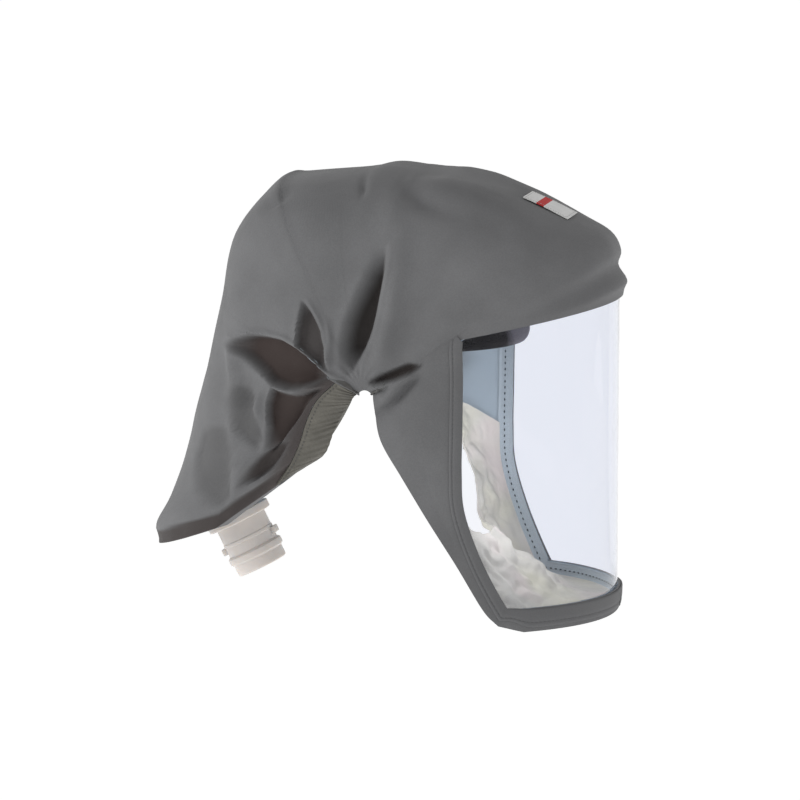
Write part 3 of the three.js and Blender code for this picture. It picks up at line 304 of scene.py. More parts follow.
@dataclass
class HoodForm:
    """The hood's outer surface in millimetres, by sections across each side of the head."""

    ear_forward: float = 3.0
    ear_drop: float = 38.0
    half_width: float = 108.0
    face_reach: float = 162.0
    back_reach: float = 166.0
    crown_rise: float = 145.0
    chin_drop: float = 166.0
    flap_drop: float = 130.0
    gather_radius: float = 5.5
    gather_centre: Pair = (3.5, -8.0)
    edge_part: float = 0.625
    dimple: float = 7.0
    dimple_reach: float = 30.0
    pleats: int = 9
    pleat_height: float = 0.35
    pleat_reach: float = 22.0
    left_calm: float = 0.85
    far_draw: float = 5.0
    crown_end: int = 200
    crown_step: int = 2
    space_power: float = 2.3
    outline: np.ndarray = field(init=False)
    tables: dict[str, np.ndarray] = field(init=False)
    even_reaches: np.ndarray = field(init=False)

    def __post_init__(self) -> None:
        """Lay out the tables and the centre line."""
        out = self.spot([row.out for row in SECTIONS])
        ring = np.array(self.gather_centre) + self.gather_radius * unit(out)
        edge = np.array([ring[k] if row.edge is None else self.spot([row.edge])[0]
                         for k, row in enumerate(SECTIONS)])
        pull = np.array([[row.pull * self.half_width] for row in SECTIONS])
        side = self.spot([row.side for row in SECTIONS])
        self.tables = {"out": out, "side": side, "edge": edge, "pull": pull}
        # The centre line runs on far below both ends, so that every direction meets it
        far = [-self.back_reach * 1.05, -8 * self.flap_drop]
        fine = along_rows(out, np.linspace(0, LAST_ROW, LAST_ROW * 8 + 1))
        start = [far, [out[0][0], -8 * self.chin_drop]]
        end = [[-self.back_reach * 1.03, -1.3 * self.flap_drop], far]
        self.outline = np.concatenate([start, fine, end])
        crown, spread = np.arange(0, self.crown_end + 1, self.crown_step), np.arange(-24, 25, 6)
        turns = np.radians(crown)[:, None] + np.radians(spread)[None, :]
        weights = 1 + np.cos(np.pi * spread / 30)
        reaches = self.reach(np.stack([np.cos(turns), np.sin(turns)], axis=-1))
        self.even_reaches = (reaches @ weights / weights.sum())[:, None]

    def spot(self, shares: list[Pair]) -> np.ndarray:
        """Turn [forward, rise] shares into millimetres from the ear point."""
        pairs = np.array(shares, dtype=float)
        forward, rise = pairs[:, 0], pairs[:, 1]
        drop = np.where(forward > 0, self.chin_drop, self.flap_drop)
        return np.stack([forward * np.where(forward > 0, self.face_reach, self.back_reach),
                         rise * np.where(rise > 0, self.crown_rise, drop)], axis=1)

    def reach(self, spots: np.ndarray) -> np.ndarray:
        """Return how far the centre line lies from the ear point towards each spot."""
        flat = spots.reshape(-1, 2)
        start = self.outline[:-1]
        step = self.outline[1:] - start
        result = np.zeros(len(flat))
        for first in range(0, len(flat), 4000):
            x, z = (flat[first:first + 4000, k:k + 1] for k in (0, 1))
            turn = x * step[:, 1] - z * step[:, 0]
            turn = np.where(np.abs(turn) < 1e-9, 1e-9, turn)
            t = (z * start[:, 0] - x * start[:, 1]) / turn
            reach = (start[:, 0] * step[:, 1] - start[:, 1] * step[:, 0]) / turn
            hit = (t >= -1e-6) & (t <= 1 + 1e-6)
            result[first:first + 4000] = np.where(hit, reach, 0).max(axis=1)
        return (result * np.hypot(flat[:, 0], flat[:, 1])).reshape(spots.shape[:-1])

    def share(self, spots: np.ndarray) -> np.ndarray:
        """Return 0 at the ear point and 1 on the centre line, evened out over the crown's sides."""
        away = np.linalg.norm(spots, axis=-1)
        reach = np.maximum(self.reach(spots), 1e-6)
        angle = directions(spots)
        even = along_rows(self.even_reaches, np.clip(angle, 0, self.crown_end) / self.crown_step)[..., 0]
        inner = 1 - np.minimum(away / reach, 1) ** 5
        blend = ease(angle / 26) * ease((self.crown_end - angle) / 25) * inner
        return away / (reach + (even - reach) * blend)

    def roundness(self, spots: np.ndarray) -> np.ndarray:
        """Return the power of the section's curve towards each spot."""
        table = np.array(ROUNDNESS)
        return np.interp(directions(spots), table[:, 0], table[:, 1])

    def base(self, spots: np.ndarray, side: int, pull: np.ndarray | float = 0.0) -> np.ndarray:
        """Place side-view spots on the smooth surface.

        Args:
            spots: side-view points.
            side: -1 for the wearer's right, +1 for the left.
            pull: how far each point is drawn in.

        Returns:
            The points in space.
        """
        power = self.roundness(spots)
        share = np.clip(self.share(spots), 0, 1)
        half = self.half_width * np.maximum(1 - share**power, 0) ** (1 / power)
        away = np.linalg.norm(spots, axis=-1)
        dimple = self.dimple * np.exp(-((away / self.dimple_reach) ** 2)) * (1 - share)
        half = np.maximum(half - pull - dimple, 0)
        forward, rise = self.ear_forward + spots[..., 0], spots[..., 1] - self.ear_drop
        return np.stack([forward, side * half, rise], axis=-1)

    def normal(self, spots: np.ndarray, side: int) -> np.ndarray:
        """Return the smooth surface's outward directions at side-view spots."""
        nudge = 0.25
        slopes = []
        for axis in (0, 1):
            shift = np.zeros(2)
            shift[axis] = nudge
            slopes.append((self.share(spots + shift) - self.share(spots - shift)) / (2 * nudge))
        power = self.roundness(spots)
        share = np.clip(self.share(spots), 0, 1)
        half = np.maximum(1 - share**power, 0) ** (1 / power)
        along = share ** (power - 1)
        over = half ** (power - 1) / self.half_width
        return unit(np.stack([along * slopes[0], side * over, along * slopes[1]], axis=-1))

    def lifted(self, spots: np.ndarray, side: int, lift: float) -> np.ndarray:
        """Return points of the smooth surface moved out by lift."""
        return self.base(spots, side) + lift * self.normal(spots, side)

    def between(self, start: np.ndarray, end: np.ndarray, shares: np.ndarray) -> np.ndarray:
        """Space spots between two lines of them so that the surface is spaced evenly."""
        power = self.space_power
        ends = [np.clip(self.share(spots), 0, 1)[:, None] for spots in (start, end)]
        turns = [np.arccos(np.clip(value ** (power / 2), 0, 1)) for value in ends]
        turn = turns[0] + (turns[1] - turns[0]) * shares[None, :]
        wanted = np.cos(turn) ** (2 / power)
        gap = ends[1] - ends[0]
        even = np.where(np.abs(gap) < 1e-6, shares[None, :], (wanted - ends[0]) / np.where(gap == 0, 1, gap))
        even = np.clip(even, 0, 1)[..., None]
        return start[:, None, :] + (end - start)[:, None, :] * even

    def section_spots(self, places: np.ndarray, across: np.ndarray) -> np.ndarray:
        """Return side-view spots of sections.

        Args:
            places: the sections, whole numbers on the table's rows.
            across: shares across each section, 0 at its edge and 1 on the centre line.

        Returns:
            Spots with one row per place and one column per share.
        """
        out, side, edge = (along_rows(self.tables[key], places) for key in ("out", "side", "edge"))
        turn = self.edge_part
        low = across[across < turn] / turn
        high = (across[across >= turn] - turn) / (1 - turn)
        return np.concatenate([self.between(edge, side, low), self.between(side, out, high)], axis=1)

    def pulls(self, places: np.ndarray, across: np.ndarray) -> np.ndarray:
        """Return how far the surface is drawn in at sections and shares across them."""
        return along_rows(self.tables["pull"], places) * (1 - across[None, :]) ** 2


@dataclass
class Folds:
    """The hood's folds: how far the cloth stands off its smooth surface, and the shade painted into them."""

    form: HoodForm
    rim_off: float = 1.6
    rim_width: float = 1.8

    def creases(self, spots: np.ndarray) -> np.ndarray:
        """Return the height of the soft ridges and valleys at side-view spots."""
        height = np.zeros(spots.shape[:-1])
        for crease in CREASES:
            away, place = run_distance(spots, self.form.spot(list(crease.run)))
            fade = 0.3 + 0.7 * np.sin(np.pi * np.clip(place, 0, 1))
            height += crease.height * fade * np.exp(-((away / crease.width) ** 2))
        return height

    def pocket(self, spots: np.ndarray, leaf: Pocket) -> tuple[np.ndarray, np.ndarray]:
        """Return a pocket's depth as a share and the height of its lip at side-view spots."""
        rows = np.array(leaf.rows, dtype=float)
        away = np.linalg.norm(spots, axis=-1)
        angle = directions(spots)
        low = np.interp(away, rows[:, 0], rows[:, 1])
        high = np.interp(away, rows[:, 0], rows[:, 2])
        along = np.clip((away - rows[0, 0]) / (rows[-1, 0] - rows[0, 0]), 0, 1)
        past_low, past_high = np.radians(angle - low) * away, np.radians(high - angle) * away
        hollow = ease(past_low / leaf.low) * ease(past_high / leaf.high)
        reach = np.minimum(np.sin(np.pi * along) * 1.6, 1) ** 0.8
        rim = np.exp(-((past_low + self.rim_off) / self.rim_width) ** 2)
        return hollow * reach, rim * reach

    def ear_pleats(self, spots: np.ndarray) -> np.ndarray:
        """Return the height of the fine pleats that fan out of the elastic at the ear."""
        away = np.linalg.norm(spots, axis=-1)
        near = np.clip(away / self.form.gather_radius - 1, 0, 1)
        near = near * np.exp(-((away / self.form.pleat_reach) ** 2))
        turn = np.radians(directions(spots))
        return self.form.pleat_height * near * np.cos(2 * self.form.pleats * turn)

    def heights(self, spots: np.ndarray) -> tuple[np.ndarray, np.ndarray, np.ndarray]:
        """Return the whole height, the painted shade of the hollows and its brownish tint at side-view
        spots.
        """
        height = self.creases(spots) + self.ear_pleats(spots)
        painted_shade = np.zeros(spots.shape[:-1])
        warm = np.zeros(spots.shape[:-1])
        for leaf in POCKETS:
            hollow, rim = self.pocket(spots, leaf)
            height += leaf.lip * rim - leaf.depth * hollow
            # Painted shade: darker where the pocket is hollow, and browner where its tint is set so
            painted_shade = np.maximum(painted_shade, leaf.painted_shade * hollow**leaf.spread)
            warm = np.maximum(warm, leaf.warm * hollow)
        return height, painted_shade, warm


# Meshes


def deselect() -> None:
    """Deselect everything."""
    bpy.ops.object.select_all(action="DESELECT")


def activate(obj: Piece) -> None:
    """Select one object alone and make it the active one."""
    deselect()
    obj.select_set(True)
    bpy.context.view_layer.objects.active = obj


def apply_modifiers(obj: Piece) -> None:
    """Apply every modifier of an object."""
    activate(obj)
    for modifier in list(obj.modifiers):
        bpy.ops.object.modifier_apply(modifier=modifier.name)


def weld(obj: Piece) -> None:
    """Join the doubled points of a sheet where it closes on itself."""
    activate(obj)
    bpy.ops.object.mode_set(mode="EDIT")
    bpy.ops.mesh.select_all(action="SELECT")
    bpy.ops.mesh.remove_doubles(threshold=SAME_POINT)
    bpy.ops.object.mode_set(mode="OBJECT")


def rounded_block(name: str, size: Triple, place: Triple, round_width: float,
                  turn: float = 0.0) -> Piece:
    """Make a block with rounded edges.

    Args:
        name: the piece's name.
        size: its three sides in millimetres.
        place: its middle in metres.
        round_width: how wide its edges' rounds are, in millimetres.
        turn: its turn round the upright axis.

    Returns:
        The block.
    """
    deselect()
    bpy.ops.mesh.primitive_cube_add(size=1)
    obj = bpy.context.object
    obj.name = obj.data.name = name
    obj.dimensions = tuple(value * MM for value in size)
    obj.location = place
    obj.rotation_euler = (0, 0, turn)
    bpy.ops.object.transform_apply(location=True, rotation=True, scale=True)
    bevel = obj.modifiers.new("round", "BEVEL")
    bevel.width = round_width * MM
    bevel.segments = 3
    apply_modifiers(obj)
    bpy.ops.object.shade_smooth_by_angle(angle=math.radians(40))
    return obj


def sheet_grid(name: str, points: np.ndarray, facing: np.ndarray) -> Piece:
    """Make a grid primitive and lay its points on a surface.

    Args:
        name: the piece's name.
        points: rows and columns of points in millimetres.
        facing: the direction that the face in the grid's middle looks in.

    Returns:
        The object, with a UV map in metres along its columns and rows.
    """
    rows, columns = points.shape[:2]
    middle = (rows // 2, columns // 2)
    over = points[middle[0], middle[1] + 1] - points[middle[0], middle[1] - 1]
    up = points[middle[0] + 1, middle[1]] - points[middle[0] - 1, middle[1]]
    if np.dot(np.cross(over, up), facing) < 0:
        points = points[:, ::-1]
    deselect()
    bpy.ops.mesh.primitive_grid_add(x_subdivisions=columns - 1, y_subdivisions=rows - 1, size=2)
    obj = bpy.context.object
    obj.name = obj.data.name = name
    start = np.empty(len(obj.data.vertices) * 3)
    obj.data.vertices.foreach_get("co", start)
    start = start.reshape(-1, 3)
    i = np.rint((start[:, 0] + 1) / 2 * (columns - 1)).astype(int)
    j = np.rint((start[:, 1] + 1) / 2 * (rows - 1)).astype(int)
    obj.data.vertices.foreach_set("co", (points[j, i] * MM).ravel())
    steps_over = np.linalg.norm(np.diff(points, axis=1), axis=2)
    steps_up = np.linalg.norm(np.diff(points, axis=0), axis=2)
    over_run = np.concatenate([np.zeros((rows, 1)), np.cumsum(steps_over, axis=1)], axis=1)
    over_run -= over_run[:, columns // 2:columns // 2 + 1]
    up_run = np.concatenate([[0], np.cumsum(steps_up.mean(axis=1))])
    loops = np.empty(len(obj.data.loops), dtype=int)
    obj.data.loops.foreach_get("vertex_index", loops)
    uv = np.stack([over_run[j[loops], i[loops]], up_run[j[loops]]], axis=1) * MM
    obj.data.uv_layers[0].data.foreach_set("uv", uv.ravel())
    obj["grid"] = [rows, columns]
    return obj


def grid_values(obj: Piece, name: str, values: np.ndarray) -> None:
    """Store one number per grid point as an attribute, before any face is taken out."""
    rows, columns = obj["grid"]
    attribute = obj.data.attributes.new(name, "FLOAT", "POINT")
    attribute.data.foreach_set("value", values.reshape(rows * columns).astype(float))


def turned(obj: Piece, points: np.ndarray) -> bool:
    """Return whether the columns of a sheet's grid run against those of its points."""
    return (obj.data.vertices[0].co - Vector(points[0, 0] * MM)).length > SAME_POINT


def thicken(obj: Piece, wall: float, inner_slot: int = 0) -> None:
    """Give a sheet its wall, inwards from its outer face, and smooth shading.

    Args:
        obj: the open sheet.
        wall: the wall in millimetres.
        inner_slot: how many material slots on the inner face's finish lies.
    """
    solid = obj.modifiers.new("wall", "SOLIDIFY")
    solid.thickness = wall * MM
    solid.offset = -1
    solid.use_even_offset = False
    solid.material_offset = inner_slot
    apply_modifiers(obj)
    bpy.ops.object.shade_smooth_by_angle(angle=math.radians(50))


def dress(obj: Piece, materials: list[Material], slot: str, *nodes: str) -> None:
    """Give a piece its materials and its body, and hide the nodes it stands for."""
    for material in materials:
        obj.data.materials.append(material)
    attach(obj, "root")
    if nodes:
        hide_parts(*nodes)


def report_area(obj: Piece) -> None:
    """Report the area of a sheet that has no wall yet."""
    log.info("%s: %.4f m2 of cloth", obj.name, sum(face.area for face in obj.data.polygons))


# Finishes


# The scale at which a wave texture has one band for each unit of its coordinates
ONE_BAND = 0.314


class Graph:
    """A material and short calls to add and join its nodes."""

    def __init__(self, name: str) -> None:
        """Make the material with its plain shader."""
        self.material = bpy.data.materials.new(name)
        self.material.use_nodes = True
        self.tree = self.material.node_tree
        self.shader = self.tree.nodes["Principled BSDF"]

    def add(self, kind: str, ins: dict | None = None, **settings) -> bpy.types.Node:
        """Add a node.

        Args:
            kind: its type without the leading ShaderNode.
            ins: a value or a socket for each named or numbered input.
            **settings: the node's own settings.

        Returns:
            The node.
        """
        node = self.tree.nodes.new("ShaderNode" + kind)
        for key, value in settings.items():
            setattr(node, key, value)
        for key, value in (ins or {}).items():
            self.put(node.inputs[key], value)
        return node

    def put(self, socket: Socket, value) -> None:
        """Link a socket to an input, or set the input's own value."""
        if isinstance(value, Socket):
            self.tree.links.new(value, socket)
        else:
            socket.default_value = value

    def set(self, **values) -> None:
        """Set the shader's inputs, with underscores for the spaces of their names."""
        for key, value in values.items():
            self.put(self.shader.inputs[key.replace("_", " ")], value)

    def place(self, source: str = "Object", scale: Triple = (1, 1, 1)) -> Socket:
        """Return coordinates, from the object or its UV map, stretched by scale."""
        coordinates = self.add("TexCoord").outputs[source]
        return self.add("Mapping", {"Vector": coordinates, "Scale": scale}).outputs[0]

    def noise(self, scale: float, detail: float = 3.0, source: str = "Object") -> Socket:
        """Return soft noise with so many lumps a metre."""
        ins = {"Vector": self.place(source), "Scale": scale, "Detail": detail}
        return self.add("TexNoise", ins).outputs[0]

    def bands(self, count: float, direction: str) -> Socket:
        """Return fine bands across the UV map, so many a metre."""
        ins = {"Vector": self.place("UV", (count, count, 1)), "Scale": ONE_BAND}
        return self.add("TexWave", ins, bands_direction=direction).outputs[1]

    def span(self, value: Socket, low: float, high: float, start: float = 0.0, end: float = 1.0) -> Socket:
        """Return value stretched from low..high to start..end."""
        return self.add("MapRange", {0: value, 1: low, 2: high, 3: start, 4: end}).outputs[0]

    def maths(self, operation: str, first: Socket, second: Socket | float) -> Socket:
        """Return the result of one operation on two numbers."""
        return self.add("Math", {0: first, 1: second}, operation=operation).outputs[0]

    def blend(self, factor, first, second, kind: str = "MIX") -> Socket:
        """Return a mix of two colours."""
        ins = {0: factor, 6: rgba(first), 7: rgba(second)}
        return self.add("Mix", ins, data_type="RGBA", blend_type=kind).outputs[2]

    def attribute(self, name: str) -> Socket:
        """Return a number stored on the piece."""
        return self.add("Attribute", attribute_name=name).outputs["Fac"]

    def bump(self, *layers: tuple[Socket, float], strength: float = 1.0) -> None:
        """Raise the surface by heights and their distances, each layer over the one before it."""
        normal = {}
        for height, distance in layers:
            ins = {"Height": height, "Distance": distance, "Strength": strength}
            normal = {"Normal": self.add("Bump", ins | normal).outputs[0]}
        self.set(**normal)


def rgba(colour):
    """Return a colour with its alpha, or a socket as it is."""
    return colour if isinstance(colour, Socket) else (*colour, 1.0)


def scaled(colour: Colour, factor: float) -> Colour:
    """Return a colour made darker or lighter."""
    return tuple(value * factor for value in colour)


@dataclass(frozen=True)
class ClothFinish:
    """A woven cloth: its colour, weave, mottling and sheen, and the shade painted into its folds and
    gathers.
    """

    name: str
    colour: Colour
    mottle: float = 0.10
    mottle_scale: float = 14.0
    weave: float = 0.0007
    weave_depth: float = 0.00006
    crumple: float = 0.0003
    crumple_scale: float = 55.0
    roughness: float = 0.78
    sheen: float = 0.12
    # Colours of the painted shade in folds, its brownish tint, and the painted shade at gathers
    fold_shade_colour: Colour | None = None
    warm_fold_shade_colour: Colour = (0.036, 0.024, 0.021)
    gather_shade: Colour | None = None
    tints: tuple[Colour, ...] = ()

    def make(self) -> Material:
        """Build the material."""
        graph = Graph(self.name)
        dark, light = scaled(self.colour, 1 - 2 * self.mottle), scaled(self.colour, 1 + self.mottle)
        blotch = graph.span(graph.noise(self.mottle_scale, 4), 0.3, 0.7)
        colour = graph.blend(blotch, dark, light)
        grain = graph.span(graph.noise(1100, 2), 0.35, 0.65, 0.94, 1.05)
        grey = graph.add("CombineColor", {0: grain, 1: grain, 2: grain}).outputs[0]
        colour = graph.blend(1.0, colour, grey, "MULTIPLY")
        for number, tint in enumerate(self.tints):
            patch = graph.span(graph.noise(17 + 6 * number, 2), 0.52, 0.66)
            colour = graph.blend(patch, colour, tint)
        # Painted shade: the cloth darkens and browns where the hood's attributes mark its folds as hollow
        if self.fold_shade_colour:
            shade = graph.blend(graph.attribute("warm"), self.fold_shade_colour, self.warm_fold_shade_colour)
            colour = graph.blend(graph.attribute("painted_shade"), colour, shade)
        # Painted shade where the lining gathers at the ear and along the hood's edge
        if self.gather_shade:
            colour = graph.blend(graph.attribute("gather_shade"), colour, self.gather_shade)
        rough = graph.span(graph.noise(40, 3), 0.3, 0.7, self.roughness - 0.06, self.roughness + 0.06)
        graph.set(Base_Color=colour, Roughness=rough, Sheen_Weight=self.sheen, Sheen_Roughness=0.5,
                  Specular_IOR_Level=0.35)
        cloth = graph.maths("MULTIPLY", graph.bands(1 / self.weave, "X"), graph.bands(1 / self.weave, "Y"))
        graph.bump((graph.noise(self.crumple_scale, 4), self.crumple), (cloth, self.weave_depth))
        return graph.material


@dataclass(frozen=True)
class ClearFinish:
    """A clear flexible sheet with a faint cool tint and very soft waves."""

    name: str = "clear_sheet_finish"
    tint: Colour = (0.885, 0.900, 0.945)

    def make(self) -> Material:
        """Build the material."""
        graph = Graph(self.name)
        haze = graph.span(graph.noise(9, 2), 0.3, 0.7, 0.0, 0.05)
        graph.set(Base_Color=rgba(self.tint), Roughness=haze, Transmission_Weight=1.0, IOR=1.2)
        graph.bump((graph.noise(9, 2), 0.0006), strength=0.3)
        return graph.material


@dataclass(frozen=True)
class MouldedFinish:
    """A moulded plastic with fine texture, handling wear and, where it is milky, light inside it."""

    name: str
    colour: Colour
    roughness: float = 0.45
    milk: float = 0.0
    texture: float = 0.00004

    def make(self) -> Material:
        """Build the material."""
        graph = Graph(self.name)
        worn = graph.span(graph.noise(35, 4), 0.35, 0.7)
        colour = graph.blend(worn, scaled(self.colour, 0.88), self.colour)
        rough = graph.span(graph.noise(160, 3), 0.3, 0.7, self.roughness - 0.08, self.roughness + 0.1)
        graph.set(Base_Color=colour, Roughness=rough)
        if self.milk > 0:
            graph.set(Subsurface_Weight=self.milk, Subsurface_Radius=(0.9, 0.75, 0.6),
                      Subsurface_Scale=0.006)
        graph.bump((graph.noise(1400, 2), self.texture))
        return graph.material


@dataclass(frozen=True)
class PadFinish:
    """Knitted pad cover: black, with a painted reflection that turns its front a lighter mauve-grey."""

    name: str = "pad_cover_finish"
    colour: Colour = (0.006, 0.005, 0.007)
    front: Colour = (0.130, 0.122, 0.142)
    turn_from: float = 0.0905
    turn_to: float = 0.0945

    def make(self) -> Material:
        """Build the material."""
        graph = Graph(self.name)
        forward = graph.add("SeparateXYZ", {0: graph.place()}).outputs[0]
        ragged = graph.maths("ADD", forward, graph.span(graph.noise(60, 3), 0, 1, -0.003, 0.003))
        # Painted reflection: the front turns a lighter mauve-grey past turn_from
        colour = graph.blend(graph.span(ragged, self.turn_from, self.turn_to), self.colour, self.front)
        graph.set(Base_Color=colour, Roughness=0.95, Sheen_Weight=0.04, Sheen_Roughness=0.4,
                  Specular_IOR_Level=0.2)
        knit = graph.add("TexVoronoi", {"Vector": graph.place(), "Scale": 900.0}).outputs[0]
        graph.bump((graph.noise(70, 3), 0.0006), (knit, 0.0003))
        return graph.material


@dataclass(frozen=True)
class LabelFinish:
    """A white woven patch with one plain narrow red stripe."""

    name: str = "label_finish"
    white: Colour = (0.90, 0.90, 0.89)
    red: Colour = (0.62, 0.03, 0.03)
    stripe: Pair = (0.020, 0.026)

    def make(self) -> Material:
        """Build the material."""
        graph = Graph(self.name)
        along = graph.add("SeparateXYZ", {0: graph.place("UV")}).outputs[1]
        inside = graph.maths("MULTIPLY", graph.maths("GREATER_THAN", along, self.stripe[0]),
                             graph.maths("LESS_THAN", along, self.stripe[1]))
        mottle = graph.span(graph.noise(90, 3), 0.3, 0.7)
        cloth = graph.blend(mottle, scaled(self.white, 0.9), self.white)
        graph.set(Base_Color=graph.blend(inside, cloth, self.red), Roughness=0.7)
        graph.bump((graph.bands(2500, "X"), 0.00005))
        return graph.material


@dataclass(frozen=True)
class FloorFinish:
    """A plain near-white studio floor, lit from below as a light table is."""

    name: str = "floor_finish"
    grey: float = 0.9
    glow: float = 0.54

    def make(self) -> Material:
        """Build the material."""
        graph = Graph(self.name)
        graph.set(Base_Color=rgba((self.grey,) * 3), Roughness=0.9, Specular_IOR_Level=0.0,
                  Emission_Color=rgba((1.0, 1.0, 1.0)), Emission_Strength=self.glow)
        return graph.material


THREADS = (("dark", (0.040, 0.052, 0.075)), ("grey", (0.095, 0.096, 0.098)), ("pale", (0.62, 0.62, 0.61)))


class Finishes:
    """Every material of the head cover, made once."""

    def __init__(self) -> None:
        """Make the materials."""
        # The hood's darkest colour is the painted shade in its folds
        self.hood = ClothFinish("hood_cloth_finish", (0.150, 0.151, 0.155),
                                fold_shade_colour=(0.024, 0.022, 0.021)).make()
        # The lining's dark colour at gathers is painted shade
        self.lining = ClothFinish("lining_finish", (0.47, 0.55, 0.62), crumple=0.0006,
                                  gather_shade=(0.075, 0.072, 0.068)).make()
        self.hem = ClothFinish("hem_cloth_finish", (0.130, 0.131, 0.135), mottle=0.06).make()
        self.tape = ClothFinish("tape_cloth_finish", (0.50, 0.57, 0.63), weave=0.0010, weave_depth=0.00012,
                                crumple_scale=90).make()
        self.seal = ClothFinish("seal_cloth_finish", (0.72, 0.69, 0.63), mottle=0.09, mottle_scale=30,
                                crumple=0.0022, crumple_scale=44, roughness=0.9,
                                tints=((0.72, 0.69, 0.58), (0.77, 0.69, 0.65))).make()
        self.cuff = ClothFinish("cuff_cloth_finish", (0.118, 0.112, 0.096), mottle=0.14, mottle_scale=45,
                                crumple=0.0012, crumple_scale=120).make()
        self.dark_thread, self.grey_thread, self.pale_thread = (
            ClothFinish(f"{word}_thread_finish", colour, weave=0.0004).make() for word, colour in THREADS)
        self.clear = ClearFinish().make()
        self.pad = PadFinish().make()
        self.label = LabelFinish().make()
        self.dark_plastic = MouldedFinish("dark_plastic_finish", (0.026, 0.026, 0.029), 0.5).make()
        self.milky = MouldedFinish("milky_plastic_finish", (0.68, 0.635, 0.60), 0.42, 0.6).make()
        self.floor = FloorFinish().make()


# Sub-assemblies


@dataclass
class HoodCover:
    """The hood: one continuous cloth shell with its folds, hem turned under and pale lining."""

    form: HoodForm
    finishes: Finishes
    wall: float = 1.8
    edge_columns: int = 50
    face_columns: int = 30
    tuck: float = 22.0
    tuck_rows: int = 10
    sewn_share: float = 0.12
    drawn_share: float = 0.3
    ear_gathers: float = 34.0
    edge_gathers: float = 0.14
    # The painted shade beside the cuff's seam: where it lies, how dark and how brownish it is
    beside_cuff: Pair = (0.02, 0.36)
    cuff_shade: float = 0.82
    cuff_shade_warmth: float = 0.9
    # The band above the hem: its width, how far it is pressed in, and the painted shade in it
    band_at_tip: float = 9.0
    band_at_side: float = 21.0
    band_depth: float = 2.4
    band_shade: float = 0.9
    band_shade_warmth: float = 0.6

    def places(self) -> np.ndarray:
        """Return the sections that the mesh is drawn at."""
        steps = [k + np.arange(row.rows) / row.rows for k, row in enumerate(SECTIONS[:-1])]
        return np.concatenate([*steps, [LAST_ROW]])

    def across(self) -> np.ndarray:
        """Return the shares across a section that the mesh is drawn at."""
        turn = self.form.edge_part
        low = np.linspace(0, turn, self.edge_columns + 1)[:-1]
        return np.concatenate([low, np.linspace(turn, 1, self.face_columns + 1)])

    def wrinkles(self, points: np.ndarray) -> np.ndarray:
        """Return the small unevenness of hanging cloth at each point."""
        flat = points.reshape(-1, 3)
        heights = [0.9 * noise.noise(Vector(point / 42)) + 0.25 * noise.noise(Vector(point / 15 + 7))
                   for point in flat]
        return np.array(heights).reshape(points.shape[:-1])

    def half(self, side: int) -> tuple[np.ndarray, ...]:
        """Return one side's points, the painted shade in its folds with its brownish tint, and the painted
        shade where the lining gathers.
        """
        places, across = self.places(), self.across()
        spots = self.form.section_spots(places, across)
        base = self.form.base(spots, side, self.form.pulls(places, across))
        height, painted_shade, warm = Folds(self.form).heights(spots)
        in_face = np.clip((HEAD_ROW + 1 - places) / 1.5, 0, 1)[:, None]
        on_face = in_face * np.clip((across - 0.25) / 0.2, 0, 1)[None, :]
        calm = (1 - on_face) * (self.form.left_calm if side > 0 else 1)
        centre = np.clip((1 - across) / 0.06, 0, 1)[None, :]
        at_cuff = np.clip(places - CUFF_TOP_ROW + 1, 0, 1)[:, None]
        sewn = 1 - at_cuff * (1 - ease(across / self.sewn_share))[None, :]
        height = (height * centre + self.wrinkles(base) * (1 - on_face)) * calm * sewn
        points = base + height[..., None] * self.form.normal(spots, side)
        if side > 0:
            points[..., 0] -= self.form.far_draw * at_cuff * (1 - ease(across / self.drawn_share))[None, :]
        # Where painted shade falls on the lining: at the ear's gathers and along the edge
        near_ear = np.exp(-((np.linalg.norm(spots, axis=-1) / self.ear_gathers) ** 4))
        near_edge = (1 - ease(across / self.edge_gathers))[None, :]
        # Painted shade: a dark brownish band in the hood beside the cuff's seam
        first, wide = self.beside_cuff
        beside = at_cuff * (1 - ease((across - first) / wide))[None, :]
        painted_shade, warm = np.maximum(painted_shade, self.cuff_shade * beside), np.maximum(warm, self.cuff_shade_warmth * beside)
        gather_shade = np.maximum(near_ear, near_edge * np.ones_like(painted_shade))
        return points, painted_shade * calm, warm * calm, gather_shade

    def hem_band(self, points: np.ndarray) -> np.ndarray:
        """Return each point's share in the band above the hem where the cloth turns in, pressed in and
        darkened with painted shade.
        """
        above = np.linalg.norm(points - points[-1:], axis=2)
        middle = points.shape[1] // 2
        from_middle = np.abs(np.arange(points.shape[1]) - middle) / middle
        wide = self.band_at_tip + (self.band_at_side - self.band_at_tip) * from_middle
        return ease((wide[None, :] - above) / 3.0)

    def tucked(self, hem: np.ndarray) -> np.ndarray:
        """Return the rows past the hem, which turn under towards the neck."""
        columns = len(hem) // 2
        across = 1 - np.abs(np.arange(len(hem)) - columns) / columns
        rows = []
        for share in np.linspace(0, 1, self.tuck_rows + 1)[1:] ** 1.3:
            drop = np.interp(share, [0, 0.1, 0.45, 1], [0, 0.003, 0.002, -0.050]) * self.form.flap_drop
            depth = self.tuck * (0.3 + 0.7 * across) * share
            rows.append(np.stack([hem[:, 0] + depth, hem[:, 1] * (1 - 0.18 * share),
                                  hem[:, 2] - drop * (0.4 + 0.6 * across) + 0.25 * depth], axis=1))
        return np.array(rows)

    def build(self) -> Piece:
        """Build the shell and cut the visor's window out of it."""
        halves = [self.half(side.value) for side in Side]
        points, *looks = (np.concatenate([right, left[:, -2::-1]], axis=1) for right, left in zip(*halves))
        band = self.hem_band(points)
        points[..., 1] -= np.sign(points[..., 1]) * self.band_depth * band
